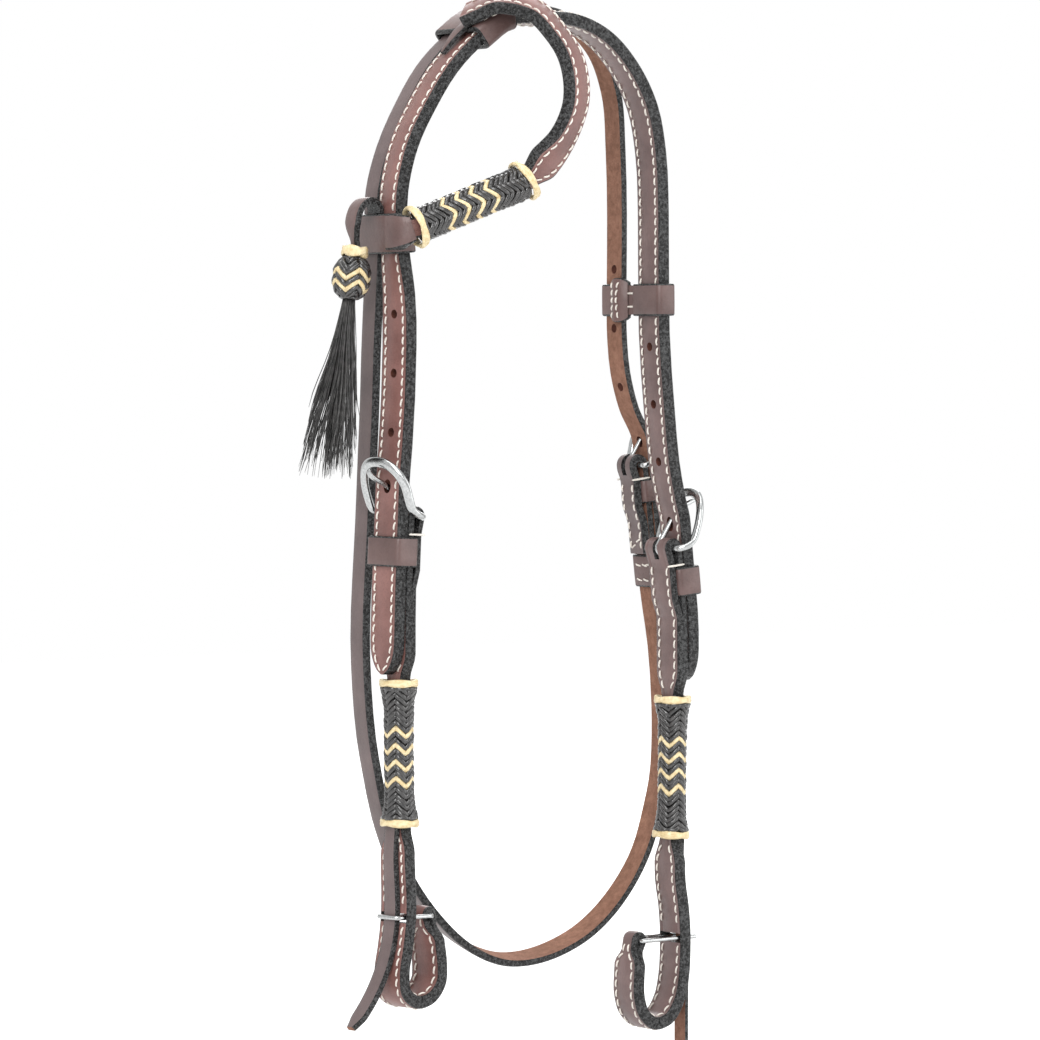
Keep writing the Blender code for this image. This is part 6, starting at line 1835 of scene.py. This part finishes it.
# Studio
WORLD_LIGHT = 0.55
FLOOR_GLOW = 0.58          # what the floor adds far from the object, to meet the background
FLOOR_DIM = 0.30           # and near it, where its shadow has to show
FLOOR_NEAR = 0.55
FLOOR_FAR = 1.5
FLOOR_DROP = 0.004         # below the lowest point of the solids
FLOOR_HALF = 3.0
LAMP_AIM = (0.0, 0.0, -0.25)
LAMPS = [                  # name, place, size and power
    ("key", (-1.1, -1.3, 0.9), (1.2, 1.4), 26.0),
    ("fill", (1.3, -1.2, 0.1), (1.2, 1.6), 12.0),
    ("rim", (0.9, 1.2, 0.7), (0.9, 1.4), 14.0),
    ("top", (-0.1, -0.1, 1.3), (1.2, 1.0), 10.0),
    ("glint", (-1.3, -1.2, 0.3), (0.3, 0.3), 4.0),
]
VIEW_TURN = -34.0          # degrees
VIEW_RISE = 2.0
VIEW_DISTANCE = 2.5
VIEW_MIDDLE = (-0.00825, -0.2403)  # rightward and upward from the poll
PHOTO_SIDE = 1040.0        # pixels
FOCAL_PIXELS = 5150.0
SENSOR = 36.0


def math_node(tree, kind, *sources):
    node = added(tree, "Math")
    node.operation = kind
    for place, source in enumerate(sources):
        link(tree, source, node.inputs[place])
    return node.outputs[0]


def seen_directly(tree):
    """1 for what the camera sees, also by way of metal and glass, and 0 for light that falls on things."""
    rays = added(tree, "LightPath").outputs
    first = math_node(tree, "MAXIMUM", rays["Is Camera Ray"], rays["Is Glossy Ray"])
    return math_node(tree, "MAXIMUM", first, rays["Is Transmission Ray"])


def show_floor():
    made, tree, shader = nodes_of("paper_floor", Roughness=0.95, Specular_IOR_Level=0.0)
    paper = ramp(tree, noise(tree, 3.0), 0.3, (0.86, 0.86, 0.86), 0.7, (0.88, 0.88, 0.88))
    link(tree, paper, shader.inputs["Base Color"])
    away = added(tree, "VectorMath")
    away.operation = "LENGTH"
    link(tree, added(tree, "NewGeometry").outputs["Position"], away.inputs[0])
    fade = added(tree, "MapRange", From_Min=FLOOR_NEAR, From_Max=FLOOR_FAR, To_Min=FLOOR_DIM,
                 To_Max=FLOOR_GLOW)
    link(tree, away.outputs["Value"], fade.inputs["Value"])
    glow = added(tree, "Emission")
    strength = math_node(tree, "MULTIPLY", seen_directly(tree), fade.outputs["Result"])
    link(tree, strength, glow.inputs["Strength"])
    both = added(tree, "AddShader")
    link(tree, shader.outputs[0], both.inputs[0])
    link(tree, glow.outputs[0], both.inputs[1])
    link(tree, both.outputs[0], tree.nodes["Material Output"].inputs["Surface"])
    low = SOLID_BOUNDS[0][2] - FLOOR_DROP
    reach = (-FLOOR_HALF, 0.0, FLOOR_HALF)
    mesh = bpy.data.meshes.new("floor")
    faces = [(k, k + 1, k + 4, k + 3) for k in (0, 1, 3, 4)]
    mesh.from_pydata([(x, y, low) for y in reach for x in reach], [], faces)
    mesh.shade_smooth()
    mesh.materials.append(made)
    floor = bpy.data.objects.new("floor", mesh)
    bpy.context.collection.objects.link(floor)


def show_world():
    world = bpy.data.worlds.new("studio")
    bpy.context.scene.world = world
    world.use_nodes = True
    tree = world.node_tree
    white = (1.0, 1.0, 1.0, 1.0)
    back = set_inputs(tree.nodes["Background"], {"Color": white, "Strength": WORLD_LIGHT})
    seen = added(tree, "Background", Color=white, Strength=1.0)
    join = added(tree, "MixShader")
    for place, source in enumerate((seen_directly(tree), back.outputs[0], seen.outputs[0])):
        link(tree, source, join.inputs[place])
    link(tree, join.outputs[0], tree.nodes["World Output"].inputs["Surface"])


def placed(name, data, place, way):
    """Puts a lamp or the camera in place, looking along way."""
    made = bpy.data.objects.new(name, data)
    bpy.context.collection.objects.link(made)
    made.location = place
    made.rotation_mode = "QUATERNION"
    made.rotation_quaternion = way.to_track_quat("-Z", "Y")
    return made


def show_lamps():
    for name, place, size, power in LAMPS:
        lamp = bpy.data.lights.new(name, "AREA")
        lamp.shape = "RECTANGLE"
        lamp.size, lamp.size_y = size
        lamp.energy = power
        placed(name, lamp, place, Vector(LAMP_AIM) - Vector(place))


def set_camera():
    turn, rise = math.radians(VIEW_TURN), math.radians(VIEW_RISE)
    rightward = Vector((math.cos(turn), math.sin(turn), 0.0))
    backward = Vector((math.sin(turn) * math.cos(rise), -math.cos(turn) * math.cos(rise), math.sin(rise)))
    target = VIEW_MIDDLE[0] * rightward + VIEW_MIDDLE[1] * backward.cross(rightward)
    camera = bpy.data.cameras.new("camera")
    camera.sensor_width = SENSOR
    camera.lens = SENSOR * FOCAL_PIXELS / PHOTO_SIDE
    camera.clip_start, camera.clip_end = 0.05, 20.0
    bpy.context.scene.camera = placed("camera", camera, target + backward * VIEW_DISTANCE, -backward)


show_floor()
show_world()
show_lamps()
set_camera()
bpy.context.scene.view_settings.view_transform = "Standard"
